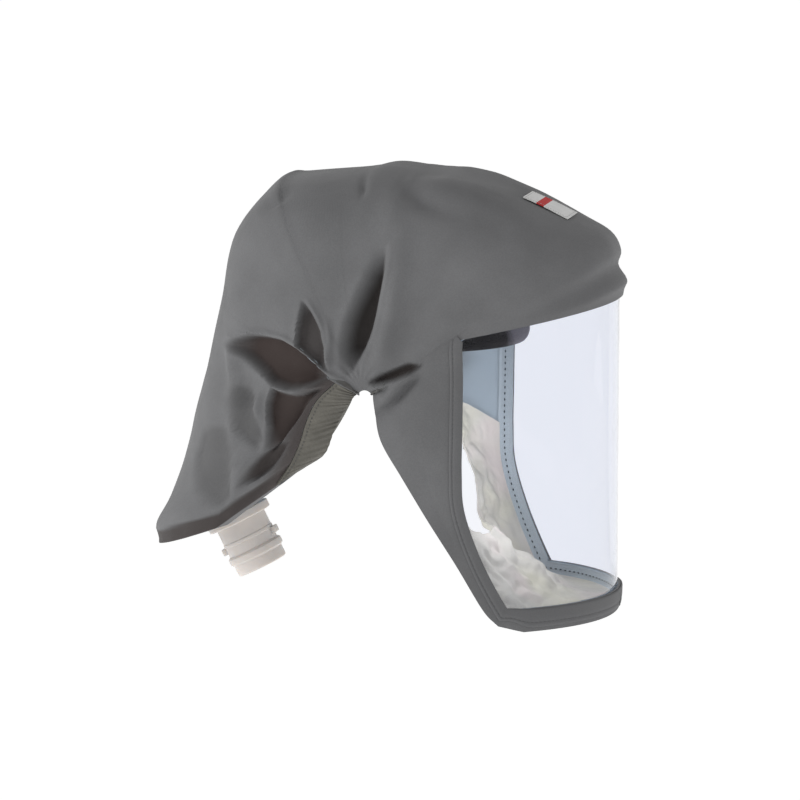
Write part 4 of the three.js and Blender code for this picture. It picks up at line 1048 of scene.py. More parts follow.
        # Painted shade in the band above the hem
        looks[0] = np.maximum(looks[0], self.band_shade * band)
        looks[1] = np.maximum(looks[1], self.band_shade_warmth * band)
        under = self.tucked(points[-1])
        points = np.concatenate([points, under])
        obj = sheet_grid("hood_cover", points, np.array([0, 0, 1.0]))
        for name, values in zip(("painted_shade", "warm", "gather_shade"), looks):
            values = np.concatenate([values, np.zeros((len(under), values.shape[1]))])
            grid_values(obj, name, values[:, ::-1] if turned(obj, points) else values)
        self.cut_window(obj)
        report_area(obj)
        dress(obj, [self.finishes.hood, self.finishes.lining], "hood_cloth", "hood_shell")
        thicken(obj, self.wall, 1)
        return obj

    def cut_window(self, obj: Piece) -> None:
        """Take out the faces between the window's foot and head and its two flanks."""
        rows, columns = obj["grid"]
        places = self.places()
        foot = int(np.argmin(np.abs(places - FOOT_ROW)))
        head = int(np.argmin(np.abs(places - HEAD_ROW)))
        activate(obj)
        bpy.ops.object.mode_set(mode="EDIT")
        bpy.ops.mesh.select_mode(type="FACE")
        bpy.ops.mesh.select_all(action="DESELECT")
        bpy.ops.object.mode_set(mode="OBJECT")
        last = columns - 1 - self.edge_columns
        for face in obj.data.polygons:
            corners = [divmod(index, columns) for index in face.vertices]
            j, i = min(row for row, _ in corners), min(column for _, column in corners)
            face.select = foot <= j < head and self.edge_columns <= i < last
        bpy.ops.object.mode_set(mode="EDIT")
        bpy.ops.mesh.delete(type="FACE")
        bpy.ops.object.mode_set(mode="OBJECT")


@dataclass
class Window:
    """The visor's edge as a fine run of spots with the directions that lead away from the visor."""

    form: HoodForm
    foot_steps: int = 40
    flank_steps: int = 110
    head_steps: int = 40
    spots: np.ndarray = field(init=False)
    away: np.ndarray = field(init=False)
    levels: np.ndarray = field(init=False)
    places: np.ndarray = field(init=False)

    def __post_init__(self) -> None:
        """Lay the run from the foot's middle by the flank to the head's middle."""
        turn = self.form.edge_part
        low, high = np.array([float(FOOT_ROW)]), np.array([float(HEAD_ROW)])
        foot = self.form.section_spots(low, np.linspace(1, turn, self.foot_steps + 1)[::-1])
        flank_places = np.linspace(FOOT_ROW, HEAD_ROW, self.flank_steps + 1)[1:]
        flank = self.form.section_spots(flank_places, np.array([turn]))
        head = self.form.section_spots(high, np.linspace(turn, 1, self.head_steps + 1)[1:])
        self.spots = np.concatenate([foot[0][::-1], flank[:, 0], head[0]])
        counts = (len(foot[0]), len(flank), len(head[0]))
        self.levels = np.repeat([level.value for level in Level], counts)
        ends = np.full(counts[0], FOOT_ROW), np.full(counts[2], HEAD_ROW)
        self.places = np.concatenate([ends[0], flank_places, ends[1]])
        steps = unit(np.diff(self.spots, axis=0))
        aways = np.stack([-steps[:, 1], steps[:, 0]], axis=1)
        for k in range(len(aways)):
            if self.levels[k + 1] != Level.FLANK.value or self.levels[k] > Level.FLANK.value:
                aways[k] = (0, self.levels[k + 1])
        before, after = np.concatenate([aways[:1], aways]), np.concatenate([aways, aways[-1:]])
        middle = unit(before + after)
        self.away = middle / np.maximum((middle * before).sum(axis=1), 0.5)[:, None]

    def strip(self, distances: list[np.ndarray | float], lifts: list[float], side: int,
              keep: slice = slice(None)) -> np.ndarray:
        """Return a strip beside the edge.

        Args:
            distances: for each row of the strip, its distance from the edge.
            lifts: for each row, how far it stands off the smooth surface.
            side: -1 for the right half, +1 for the left.
            keep: the part of the run that is wanted.

        Returns:
            Rows of points along the run.
        """
        rows = []
        for distance, lift in zip(distances, lifts):
            step = np.broadcast_to(np.asarray(distance, dtype=float), self.levels.shape)[:, None]
            spots = (self.spots + self.away * step)[keep]
            rows.append(self.form.lifted(spots, side, lift))
        return np.array(rows)

    def cheek(self, place: float) -> int:
        """Return the run's index where the flank reaches a section."""
        return int(np.argmax(self.places >= place))


def both_sides(right: np.ndarray, left: np.ndarray) -> np.ndarray:
    """Join the halves of a strip that crosses the centre line at the start of its run."""
    return np.concatenate([left[:, :0:-1], right], axis=1)


@dataclass
class Stitching:
    """A row of small stitches: one rounded thread, copied along a line and joined."""

    name: str
    material: Material
    slot: str
    length: float
    breadth: float
    pitch: float

    def spots(self, line: np.ndarray) -> tuple[np.ndarray, np.ndarray]:
        """Space the stitches evenly along a line of points and give their directions."""
        steps = np.linalg.norm(np.diff(line, axis=0), axis=1)
        run = np.concatenate([[0], np.cumsum(steps)])
        count = max(int(run[-1] / self.pitch), 2)
        wanted = (np.arange(count) + 0.5) * run[-1] / count
        at = np.stack([np.interp(wanted, run, line[:, k]) for k in range(3)], axis=1)
        ahead = np.stack([np.interp(wanted + 0.5, run, line[:, k]) for k in range(3)], axis=1)
        behind = np.stack([np.interp(wanted - 0.5, run, line[:, k]) for k in range(3)], axis=1)
        return at, ahead - behind

    def build(self, lines: list[np.ndarray]) -> Piece:
        """Model one stitch, lay a copy at every place and join them into one piece."""
        deselect()
        bpy.ops.mesh.primitive_uv_sphere_add(segments=8, ring_count=5, radius=1)
        seed = bpy.context.object
        seed.scale = (self.length / 2 * MM, self.breadth / 2 * MM, self.breadth / 2 * MM)
        bpy.ops.object.transform_apply(location=False, rotation=False, scale=True)
        copies = [seed]
        for line in lines:
            at, heading = self.spots(line)
            for point, direction in zip(at, heading):
                copy = seed.copy()
                copy.data = seed.data.copy()
                copy.rotation_euler = Vector(direction).to_track_quat("X", "Z").to_euler()
                copy.location = Vector(point * MM)
                bpy.context.collection.objects.link(copy)
                copies.append(copy)
        bpy.data.objects.remove(copies.pop(0))
        deselect()
        for copy in copies:
            copy.select_set(True)
        bpy.context.view_layer.objects.active = copies[0]
        bpy.ops.object.join()
        obj = bpy.context.object
        bpy.ops.object.transform_apply(location=True, rotation=True, scale=True)
        obj.name = obj.data.name = self.name
        bpy.ops.object.shade_smooth()
        dress(obj, [self.material], self.slot)
        return obj


@dataclass
class VisorAssembly:
    """The clear sheet, its cloth hem outside and the stitched tape that holds it inside."""

    form: HoodForm
    window: Window
    finishes: Finishes
    hood_wall: float = 1.8
    sheet: float = 0.7
    hem_wall: float = 0.9
    tape_wall: float = 0.8
    gap: float = 0.5
    lap: float = 8.0
    corner_lap: float = 1.2
    overhang: float = 1.6
    far_overhang: float = -0.2
    hem_width: float = 7.0
    chin_hem_width: float = 13.0
    tape_width: float = 10.0
    tape_overhang: float = 1.0

    def hem_distance(self, share: float, side: Side) -> np.ndarray:
        """Return a hem row's distance from the visor's edge all along the run of one side."""
        corner = int(np.argmax(self.window.levels == Level.FLANK.value)) - 1
        from_corner = np.arange(len(self.window.levels)) - corner
        chin = ease(-from_corner / 6)
        width = self.hem_width + (self.chin_hem_width - self.hem_width) * chin
        start = -(self.overhang if side is Side.RIGHT else self.far_overhang) * (1 - chin)
        return start + share * (width - start)

    def build_hem(self) -> list[Piece]:
        """Build the hem strip with a groove along its seam and stitches in the groove."""
        last = int(np.flatnonzero(self.window.levels == Level.FLANK.value)[-1]) + 1
        shares = [0.0, 0.03, 0.10, 0.5, 0.68, 0.74, 0.80, 0.95, 1.0]
        rises = [-0.7, -0.15, 0.0, 0.1, 0.0, -0.3, 0.0, -0.15, -0.7]
        lifts = [self.gap + self.hem_wall + rise for rise in rises]
        part = slice(0, last)
        distances = {side: [self.hem_distance(share, side) for share in shares] for side in Side}
        halves = [self.window.strip(distances[side], lifts, side.value, part) for side in Side]
        hem = sheet_grid("visor_hem_strip", both_sides(*halves), np.array([1.0, 0, 0]))
        dress(hem, [self.finishes.hem], "hem_cloth", "visor_hem")
        report_area(hem)
        thicken(hem, self.hem_wall)
        groove = rises.index(-0.3)
        line = both_sides(*(half[groove:groove + 1] for half in halves))[0]
        thread = Stitching("hem_stitches", self.finishes.grey_thread, "hem_cloth", 2.2, 0.45, 3.2)
        return [hem, thread.build([line])]

    def build_sheet(self) -> Piece:
        """Build the clear sheet a little behind the hood's face, its rim lapping behind the hood."""
        depth = -(self.hood_wall + self.gap)
        turn = self.form.edge_part
        places = np.linspace(FOOT_ROW, HEAD_ROW, 70)
        across = np.linspace(turn, 1, 40)
        spots = self.form.section_spots(places, across)
        foot_away = np.tile([0.0, -1.0], (len(across), 1))
        flank = self.form.section_spots(places, np.array([turn]))[:, 0]
        step = unit(np.gradient(flank, axis=0))
        out = np.stack([-step[:, 1], step[:, 0]], axis=1)
        foot_away[0] = unit(np.array([[0, -1.0]]) + out[:1])[0] * self.corner_lap
        head_away = -foot_away
        head_away[0] = unit(np.array([[0, 1.0]]) + out[-1:])[0] * self.corner_lap
        below, above = spots[0] + foot_away * self.lap, spots[-1] + head_away * self.lap
        spots = np.concatenate([[below], spots, [above]])
        side_away = np.concatenate([np.zeros((1, 2)), out, np.zeros((1, 2))]) * self.lap
        spots = np.concatenate([(spots[:, 0] + side_away)[:, None], spots], axis=1)
        halves = [self.form.lifted(spots, side.value, depth) for side in Side]
        points = np.concatenate([halves[0], halves[1][:, -2::-1]], axis=1)
        obj = sheet_grid("visor_sheet", points, np.array([1.0, 0, 0]))
        dress(obj, [self.finishes.clear], "clear_sheet", "visor")
        thicken(obj, self.sheet)
        obj.visible_shadow = False
        return obj

    def build_tape(self) -> list[Piece]:
        """Build the tape ring with rolled edges and the stitches along its middle."""
        depth = -(self.hood_wall + self.sheet + 2 * self.gap)
        shares = [0.0, 0.06, 0.2, 0.44, 0.5, 0.56, 0.8, 0.94, 1.0]
        rises = [-0.3, -0.05, 0.1, 0.0, -0.25, 0.0, 0.1, -0.05, -0.3]
        lifts = [depth + rise for rise in rises]
        start = np.where(self.window.levels == Level.FLANK.value, -self.tape_overhang, 0.2)
        distances = [start + share * (self.tape_width - start) for share in shares]
        halves = [self.window.strip(distances, lifts, side.value) for side in Side]
        loop = np.concatenate([halves[0], halves[1][:, -2::-1]], axis=1)
        tape = sheet_grid("window_tape", loop, np.array([1.0, 0, 0]))
        weld(tape)
        report_area(tape)
        dress(tape, [self.finishes.tape], "tape_cloth", "seam_tape")
        thicken(tape, self.tape_wall)
        inside = [depth - self.tape_wall - 0.25]
        lines = [self.window.strip([self.tape_width / 2], inside, side.value)[0] for side in Side]
        thread = Stitching("tape_stitches", self.finishes.dark_thread, "tape_cloth", 2.2, 1.1, 4.4)
        return [tape, thread.build(lines)]

    def build(self) -> list[Piece]:
        """Build every piece of the visor."""
        return [*self.build_hem(), self.build_sheet(), *self.build_tape()]


@dataclass
class FaceSeal:
    """The cream cloth that hangs between the tape and the wearer's face, crumpled and slack."""

    form: HoodForm
    window: Window
    finishes: Finishes
    wall: float = 1.0
    start: float = 8.5
    depth: float = 5.0
    top_place: float = 4.1
    steps: int = 56
    crumple: float = 3.0
    slack_place: float = 0.62
    slack_spread: float = 0.20
    slack_back: float = 0.080
    slack_drop: float = 0.050
    table: tuple[tuple[float, float, float, float], ...] = (
        (0.095, 0.585, -0.130, 0.00),
        (0.195, 0.590, -0.300, 0.02),
        (0.285, 0.592, -0.460, 0.02),
        (0.375, 0.530, -0.590, 0.04),
        (0.430, 0.400, -0.650, 0.07),
        (0.450, 0.200, -0.680, 0.08),
        (0.450, 0.000, -0.685, 0.08),
    )

    def half(self, side: int) -> np.ndarray:
        """Return one side's points, a row per step from the tape to the face."""
        last = self.window.cheek(self.top_place)
        spots = (self.window.spots + self.window.away * self.start)[:last + 1]
        start = self.form.lifted(spots, side, -self.depth)
        around = 1 - np.arange(last + 1) / last
        rows = along_rows(np.array(self.table), around * (len(self.table) - 1))
        if side > 0:
            slack = np.exp(-(((around - self.slack_place) / self.slack_spread) ** 2))
            rows[:, 0] -= self.slack_back * slack
            rows[:, 2] -= self.slack_drop * slack
        end = np.stack([self.form.ear_forward + rows[:, 0] * self.form.face_reach,
                        side * rows[:, 1] * self.form.half_width,
                        rows[:, 2] * self.form.chin_drop - self.form.ear_drop], axis=1)
        grid = []
        for share in np.linspace(0, 1, self.steps + 1):
            bow = math.sin(math.pi * share)
            point = start + (end - start) * share
            point[:, 2] -= rows[:, 3] * self.form.chin_drop * bow
            grid.append(point)
        return np.array(grid)

    def build(self) -> Piece:
        """Build the seal and crumple it, less beside the tape and at its free edge."""
        halves = [self.half(side.value) for side in Side]
        points = both_sides(*halves)
        up, over = np.gradient(points, axis=(0, 1))
        normal = unit(np.cross(over, up))
        bow = np.minimum(np.clip(np.linspace(-0.25, 2.0, points.shape[0]), 0, 1),
                         np.linspace(6.0, 0.3, points.shape[0]))
        heights = np.zeros(points.shape[:2])
        for j in range(points.shape[0]):
            for i in range(points.shape[1]):
                spot = Vector(points[j, i])
                ridge = 0.8 - abs(noise.noise(spot / 24)) * 3.8
                fine = 0.8 - abs(noise.noise(spot / 10 + Vector((3, 1, 7)))) * 3
                heights[j, i] = bow[j] * self.crumple * (ridge + 0.42 * fine)
        points = points + heights[..., None] * normal
        obj = sheet_grid("face_seal_cloth", points, np.array([0, 0, 1.0]))
        report_area(obj)
        dress(obj, [self.finishes.seal], "seal_cloth", "face_seal")
        thicken(obj, self.wall)
        return obj


@dataclass
class NeckCuffs:
    """The gathered elastic casing along each side of the neck opening, and its seam.

    The right one hangs as it is worn in the photograph; the left one is turned in to the neck.
    """

    form: HoodForm
    finishes: Finishes
    wall: float = 1.6
    gap: float = 0.5
    draw: float = 0.30
    first_row: float = 21.6
    points: int = 110
    gathers: float = 0.5
    rows: int = 16
    bow: float = 1.8
    rim: tuple[Pair, ...] = (
        (-2.5, -5.5), (-5.5, -7.5), (-10, -13), (-16, -22), (-23.5, -36), (-31, -52), (-46, -63), (-60, -73),
    )

    def gather(self, k: int, share: float, side: int) -> float:
        """Return how high the gathers stand at one place along the strip."""
        shift = 2 * noise.noise(Vector((k * 0.12, 3, side)))
        return math.sin(1.25 * k + shift) + 1.3 * noise.noise(Vector((k * 0.3, share * 1.4, side)))

    def grid(self, side: int) -> np.ndarray:
        """Return one side's strip, a row per step away from the hood's edge."""
        places = np.linspace(self.first_row, LAST_ROW, self.points)
        across = np.array([0.0])
        spots = self.form.section_spots(places, across)
        edge = self.form.base(spots, side, self.form.pulls(places, across))[:, 0]
        normal = self.form.normal(spots, side)[:, 0]
        over = along_rows(np.array(self.rim), places - CUFF_TOP_ROW) - spots[:, 0]
        wide = np.linalg.norm(over, axis=1)
        past = np.stack([over[:, 0], -side * self.draw * wide, over[:, 1]], axis=1)
        if side > 0:
            edge[:, 0] -= self.form.far_draw
            past = np.stack([0.05 * over[:, 0] - 0.1 * wide, -0.8 * wide, 0.15 * over[:, 1]], axis=1)
        rows = []
        for share in np.linspace(0, 1, self.rows + 1):
            wave = np.array([self.gather(k, share, side) for k in range(self.points)])
            calm = min(share * 5, 1) * np.clip(wide / 14, 0, 1)
            bow = math.sin(math.pi * share) * self.bow * calm
            lift = wave * self.gathers * (0.35 + 0.65 * share) * calm + bow
            start = unit(past) * self.gap
            rows.append(edge + start + past * share + normal * lift[:, None])
        return np.array(rows)

    def build(self) -> list[Piece]:
        """Build both strips and their seams."""
        pieces = []
        for side in Side:
            word = side.name.lower()
            grid = self.grid(side.value)
            obj = sheet_grid(f"neck_cuff_cloth_{word}", grid, np.array([0, side.value, 0]))
            report_area(obj)
            dress(obj, [self.finishes.cuff], "cuff_cloth", f"neck_cuff_{word}")
            thicken(obj, self.wall)
            line = grid[2] + [0, side.value * 0.3, 0]
            name = f"cuff_stitches_{word}"
            thread = Stitching(name, self.finishes.grey_thread, "cuff_cloth", 1.8, 0.5, 2.8)
            pieces += [obj, thread.build([line])]
        return pieces


@dataclass
class HeadHarness:
    """The headband with its strap tabs, and the padded brow cover that wraps its front."""

    finishes: Finishes
    half_length: float = 98.0
    half_width: float = 78.0
    band_wall: float = 2.0
    band_low: float = -9.0
    band_high: float = 11.0
    pad_low: float = -19.0
    pad_high: float = 13.0
    pad_spread: float = 78.0
    pad_outer: float = 2.7
    pad_inner: float = 11.3
    pad_boxy: float = 2.8
    tab_length: float = 18.0
    tab_wall: float = 3.0

    def oval(self, angles: np.ndarray, out: float) -> np.ndarray:
        """Return points of the band's oval moved out by so much, at a height of nought."""
        return np.stack([(self.half_length + out) * np.cos(angles), (self.half_width + out) * np.sin(angles),
                         np.zeros(len(angles))], axis=1)

    def build_band(self) -> Piece:
        """Build the hoop as a rounded strap with a raised rim along both edges."""
        angles = np.linspace(-math.pi, math.pi, 161)
        heights = [0.0, 0.06, 0.14, 0.2, 0.5, 0.8, 0.86, 0.94, 1.0]
        outs = [-0.5, -0.05, 0.0, -0.35, -0.45, -0.35, 0.0, -0.05, -0.5]
        rows = []
        for height, out in zip(heights, outs):
            row = self.oval(angles, out)
            row[:, 2] = self.band_low + (self.band_high - self.band_low) * height
            rows.append(row)
        obj = sheet_grid("headband_strap", np.array(rows), np.array([1.0, 0, 0]))
        weld(obj)
        dress(obj, [self.finishes.dark_plastic], "dark_plastic")
        thicken(obj, self.band_wall - 0.5)
        return obj

    def build_tab(self, side: Side) -> Piece:
        """Build one strap tab from the band out to the hood's wall."""
        _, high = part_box("headband")
        reach = high[1] / MM
        root = self.half_width * math.sqrt(1 - (self.tab_length / self.half_length) ** 2) - 0.6
        place = (-self.tab_length, side.value * (reach + root) / 2, self.band_high - self.tab_wall / 2)
        obj = rounded_block(f"strap_tab_{side.name.lower()}", (self.tab_length, reach - root, self.tab_wall),
                            tuple(value * MM for value in place), 1.1)
        dress(obj, [self.finishes.dark_plastic], "dark_plastic")
        return obj

    def build_pad(self) -> Piece:
        """Build the brow pad as a crowned closed form round the band's front."""
        angles = np.radians(np.linspace(-self.pad_spread, self.pad_spread, 121))
        around = np.linspace(0, 2 * math.pi, 49)
        middle = (self.pad_low + self.pad_high) / 2
        tall = (self.pad_high - self.pad_low) / 2
        thick = (self.pad_outer + self.pad_inner) / 2
        rows = []
        for turn in around:
            square = (abs(math.cos(turn)) ** self.pad_boxy + abs(math.sin(turn)) ** self.pad_boxy) ** (
                -1 / self.pad_boxy)
            end = np.clip((1 - np.abs(np.linspace(-1, 1, len(angles)))) / 0.06, 0, 1)
            shrink = 0.45 + 0.55 * np.sqrt(1 - (1 - end) ** 2)
            out = (self.pad_outer - thick) + thick * square * math.cos(turn) * shrink
            row = self.oval(angles, 0)
            outward = unit(row * [1 / self.half_length**2, 1 / self.half_width**2, 0])
            row = row + outward * out[:, None]
            row[:, 2] = middle + tall * square * math.sin(turn) * shrink
            rows.append(row)
        obj = sheet_grid("brow_pad_cover", np.array(rows), np.array([1.0, 0, 0]))
        activate(obj)
        bpy.ops.object.mode_set(mode="EDIT")
        bpy.ops.mesh.select_all(action="SELECT")
        bpy.ops.mesh.remove_doubles(threshold=SAME_POINT)
        bpy.ops.mesh.fill_holes(sides=0)
        bpy.ops.mesh.select_all(action="SELECT")
        bpy.ops.mesh.normals_make_consistent(inside=False)
        bpy.ops.object.mode_set(mode="OBJECT")
        bpy.ops.object.shade_smooth_by_angle(angle=math.radians(50))
        dress(obj, [self.finishes.pad], "pad_cloth", "brow_pad")
        return obj

    def build(self) -> list[Piece]:
        """Build the whole harness."""
        band = self.build_band()
        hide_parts("headband")
        return [band, self.build_tab(Side.RIGHT), self.build_tab(Side.LEFT), self.build_pad()]


@dataclass
class AirSupply:
    """The tilted hose connector and the ribbed duct that leads up to the headband."""

    finishes: Finishes
    tilt: float = 27.0
    outer: float = 37.0
    bore: float = 29.0
    length: float = 58.0
    end_forward: float = -90.0
    end_drop: float = 185.0
    ring_place: float = 8.0
    ring_height: float = 7.0
    ring_proud: float = 1.9
    ring_slope: float = 1.0
    bead_low: float = 22.0
    bead_high: float = 25.0
    bead_proud: float = 0.5
    flange_place: float = 36.0
    flange_height: float = 6.0
    flange_proud: float = 5.0
    neck_step: float = 2.5
    lug_height: float = 20.0
    lug_size: Triple = (4.0, 9.0, 5.0)
    duct_radius: float = 15.6
    duct_rib: float = 0.4
    duct_wall: float = 1.6
    duct_lead: float = 14.0
    duct_waist: Triple = (-110.7, 0.0, -71.2)
    duct_top: Triple = (-94.3, 0.0, -9.3)

    def tilted(self, obj: Piece) -> None:
        """Lean an upright piece back and put its foot at the connector's end."""
        obj.rotation_euler = (0, -math.radians(self.tilt), 0)
        obj.location = (self.end_forward * MM, 0, -self.end_drop * MM)
        activate(obj)
        bpy.ops.object.transform_apply(location=True, rotation=True, scale=True)

    def profile(self) -> list[Pair]:
        """Return the wall's section as radius and height, with small rounds and grooves."""
        body, bore = self.outer / 2, self.bore / 2
        ring, ring_top = self.ring_place, self.ring_place + self.ring_height
        flange, flange_top = self.flange_place, self.flange_place + self.flange_height
        proud, wide, neck = body + self.ring_proud, body + self.flange_proud, body - self.neck_step
        low, high, bead = self.bead_low, self.bead_high, body + self.bead_proud
        return [
            (bore, 1.2), (bore + 1.2, 0), (body - 0.8, 0), (body, 0.8), (body, ring),
            (proud - self.ring_slope, ring + 0.6), (proud, ring + 1.6), (proud, ring_top - 1.6),
            (proud - self.ring_slope, ring_top - 0.6), (body, ring_top),
            (body, low), (bead, low + 0.6), (bead, high - 0.6), (body, high), (body, flange),
            (wide - 0.6, flange), (wide, flange + 0.6), (wide, flange_top - 0.6), (wide - 0.6, flange_top),
            (neck, flange_top), (neck, self.length - 0.6), (neck - 0.6, self.length),
            (bore + 0.4, self.length), (bore, self.length - 0.4),
        ]

    def spun(self, name: str, profile: list[Pair], steps: int = 72) -> Piece:
        """Turn a closed section round the upright axis.

        Args:
            name: the piece's name.
            profile: radius and height of each corner, in millimetres.
            steps: how many faces go round.

        Returns:
            The closed ring, upright on the origin.
        """
        deselect()
        bpy.ops.mesh.primitive_circle_add(vertices=len(profile), radius=1)
        obj = bpy.context.object
        obj.name = obj.data.name = name
        for corner, (radius, height) in zip(obj.data.vertices, profile):
            corner.co = (radius * MM, 0, height * MM)
        activate(obj)
        bpy.ops.object.mode_set(mode="EDIT")
        bpy.ops.mesh.select_all(action="SELECT")
        bpy.ops.mesh.spin(steps=steps, angle=2 * math.pi, center=(0, 0, 0), axis=(0, 0, 1))
        bpy.ops.mesh.select_all(action="SELECT")
        bpy.ops.mesh.remove_doubles(threshold=SAME_POINT)
        bpy.ops.mesh.normals_make_consistent(inside=False)
        bpy.ops.object.mode_set(mode="OBJECT")
        bpy.ops.object.shade_smooth_by_angle(angle=math.radians(35))
        return obj

    def lug(self, name: str, turn: float) -> Piece:
        """Build one locking lug on the connector's side, at a direction round it in degrees."""
        radius = (self.outer / 2 + self.lug_size[0] / 2 - 0.9) * MM
        angle = math.radians(turn)
        place = (radius * math.cos(angle), radius * math.sin(angle), self.lug_height * MM)
        obj = rounded_block(name, self.lug_size, place, 0.7, angle)
        self.tilted(obj)
        dress(obj, [self.finishes.milky], "milky_plastic")
        return obj

    def build_duct(self) -> Piece:
        """Build the ribbed duct on the route of the plain tube."""
        tilt = math.radians(self.tilt)
        axis = np.array([-math.sin(tilt), 0, math.cos(tilt)])
        foot = np.array([self.end_forward, 0, -self.end_drop]) + axis * (self.length + 0.3)
        top = np.array(self.duct_top)
        low, high = foot + axis * self.duct_lead, top - [0, 0, self.duct_lead]
        route = np.array([foot, low, self.duct_waist, high, top])
        fine = along_rows(route, np.linspace(0, len(route) - 1, 121))
        heading = unit(np.gradient(fine, axis=0))
        over = np.array([0.0, 1.0, 0.0])
        turns = np.linspace(0, 2 * math.pi, 49)
        rows = []
        for k, (point, ahead) in enumerate(zip(fine, heading)):
            radius = self.duct_radius + self.duct_rib * math.cos(2 * math.pi * k / 6)
            front = np.cross(over, ahead)
            rows.append(point + radius * (np.cos(turns)[:, None] * over + np.sin(turns)[:, None] * front))
        outward = rows[60][24] - fine[60]
        obj = sheet_grid("air_duct_tube", np.array(rows), outward)
        weld(obj)
        dress(obj, [self.finishes.dark_plastic], "dark_plastic", "air_duct")
        thicken(obj, self.duct_wall)
        return obj

    def build(self) -> list[Piece]:
        """Build the connector, its lugs and the duct."""
        body = self.spun("hose_connector", self.profile())
        self.tilted(body)
        dress(body, [self.finishes.milky], "milky_plastic", "air_connector")
        lugs = [self.lug("connector_lug_front", 0), self.lug("connector_lug_back", 180)]
        return [body, *lugs, self.build_duct()]


@dataclass
class LabelPatch:
    """The small white patch on the front of the crown, with a stitched border."""

    form: HoodForm
    finishes: Finishes
    length: float = 34.0
    width: float = 34.0
    off_middle: float = 6.5
    forward: float = 113.0
    wall: float = 0.8
    gap: float = 0.3
    cells: int = 24

    def surface(self, forwards: np.ndarray, width: float) -> np.ndarray:
        """Return points of the crown so far forward and so far from the centre line."""
        places = np.linspace(HEAD_ROW + 3, HEAD_ROW + 9, 400)
        out = along_rows(self.form.tables["out"], places)
        at = np.interp(-forwards, -out[:, 0], places)
        side = -1 if width < 0 else 1
        points = []
        for place in at:
            across = np.linspace(0.6, 1, 200)
            spots = self.form.section_spots(np.array([place]), across)
            base = self.form.base(spots, side)[0]
            share = np.interp(-abs(width), -np.abs(base[:, 1]), across)
            spot = self.form.section_spots(np.array([place]), np.array([share]))
            height = Folds(self.form).creases(spot)[0, 0] * min((1 - share) / 0.06, 1)
            lift = self.gap + self.wall + 0.5 + height
            points.append((self.form.base(spot, side) + lift * self.form.normal(spot, side))[0, 0])
        return np.array(points)

    def build(self) -> list[Piece]:
        """Build the patch and its border of stitches."""
        slope = math.atan2(self.form.crown_rise * 0.3, self.form.face_reach * 0.65)
        half = self.length / 2 * math.cos(slope)
        forwards = self.forward + half * np.linspace(1, -1, self.cells + 1)
        widths = self.width * np.linspace(-0.5, 0.5, self.cells + 1) - self.off_middle
        points = np.stack([self.surface(forwards, width) for width in widths], axis=1)
        obj = sheet_grid("label_patch_cloth", points, np.array([0, 0, 1.0]))
        dress(obj, [self.finishes.label], "label_cloth", "label_patch")
        thicken(obj, self.wall)
        raised = points + [0, 0, 0.15]
        border = np.concatenate([raised[1, 1:-1], raised[1:-1, -2], raised[-2, -2:0:-1], raised[-2:0:-1, 1]])
        thread = Stitching("label_stitches", self.finishes.pale_thread, "label_cloth", 1.2, 0.3, 1.9)
        return [obj, thread.build([border])]


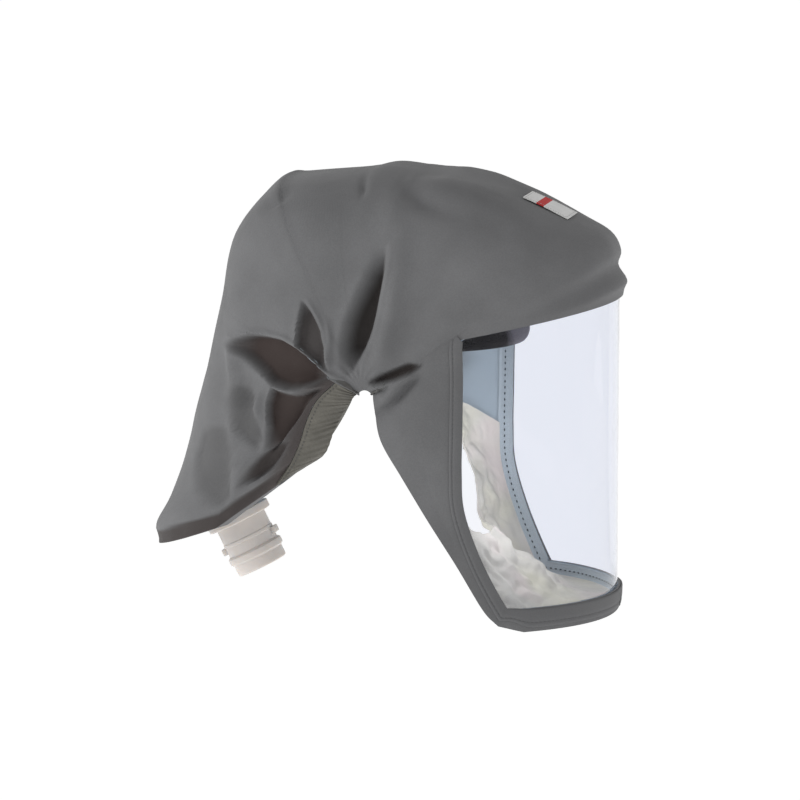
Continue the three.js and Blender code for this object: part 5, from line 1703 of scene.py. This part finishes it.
@dataclass
class Studio:
    """The pale floor, the soft lights and the camera at the photograph's angle."""

    finishes: Finishes
    azimuth: float = 12.0
    elevation: float = 9.2
    distance: float = 3.0
    aim: Triple = (0.0093, 0.0, -0.063)
    field_width: float = 0.5594
    sensor: float = 36.0
    floor_drop: float = 1.6
    floor_side: float = 160.0
    world_light: float = 0.53
    inner_place: Triple = (0.100, -0.010, -0.090)
    inner_power: float = 0.25
    inner_size: float = 0.04

    def direction(self, azimuth: float, elevation: float) -> Vector:
        """Return the direction from the object to a viewer."""
        turn, rise = math.radians(azimuth), math.radians(elevation)
        return Vector((math.sin(turn) * math.cos(rise), -math.cos(turn) * math.cos(rise), math.sin(rise)))

    def lamp(self, name: str, azimuth: float, elevation: float, distance: float, size: float,
             power: float) -> None:
        """Hang one square soft light that looks at the object."""
        data = bpy.data.lights.new(name, "AREA")
        data.shape = "SQUARE"
        data.size = size
        data.energy = power
        lamp = bpy.data.objects.new(name, data)
        bpy.context.scene.collection.objects.link(lamp)
        back = self.direction(azimuth, elevation)
        lamp.location = Vector(self.aim) + back * distance
        lamp.rotation_euler = back.to_track_quat("Z", "Y").to_euler()

    def build(self) -> None:
        """Set the floor, the lights, the surroundings and the camera."""
        deselect()
        bpy.ops.mesh.primitive_plane_add(size=self.floor_side, location=(0, 0, -self.floor_drop))
        floor = bpy.context.object
        floor.name = "studio_floor"
        floor.data.materials.append(self.finishes.floor)
        world = bpy.data.worlds.new("studio")
        bpy.context.scene.world = world
        world.use_nodes = True
        background = world.node_tree.nodes["Background"].inputs
        background[0].default_value = (1.0, 1.0, 1.0, 1)
        background[1].default_value = self.world_light
        self.lamp("key_light", -56, 12, 2.6, 1.4, 30)
        self.lamp("front_light", 20, 6, 3.0, 1.8, 3.0)
        bpy.ops.object.light_add(type="POINT", location=self.inner_place)
        inner = bpy.context.object
        inner.name = "inner_light"
        inner.data.energy, inner.data.shadow_soft_size = self.inner_power, self.inner_size
        inner.visible_camera = inner.visible_transmission = inner.visible_glossy = False
        bpy.context.scene.view_settings.view_transform = "Standard"
        camera = bpy.data.cameras.new("photo_camera")
        camera.sensor_width = self.sensor
        camera.lens = self.sensor * self.distance / self.field_width
        camera.clip_end = 100
        holder = bpy.data.objects.new("photo_camera", camera)
        bpy.context.scene.collection.objects.link(holder)
        back = self.direction(self.azimuth, self.elevation)
        holder.location = Vector(self.aim) + back * self.distance
        holder.rotation_euler = back.to_track_quat("Z", "Y").to_euler()
        bpy.context.scene.camera = holder


def main() -> None:
    """Build the head cover piece by piece and report each one."""
    logging.basicConfig(level=logging.INFO, format="%(name)s: %(message)s")
    finishes = Finishes()
    form = HoodForm()
    window = Window(form)
    pieces = [HoodCover(form, finishes).build()]
    pieces += VisorAssembly(form, window, finishes).build()
    pieces.append(FaceSeal(form, window, finishes).build())
    pieces += NeckCuffs(form, finishes).build()
    pieces += HeadHarness(finishes).build()
    pieces += AirSupply(finishes).build()
    pieces += LabelPatch(form, finishes).build()
    for piece in pieces:
        log.info("%s: %d faces", piece.name, len(piece.data.polygons))
    Studio(finishes).build()


if __name__ == "__main__":
    main()
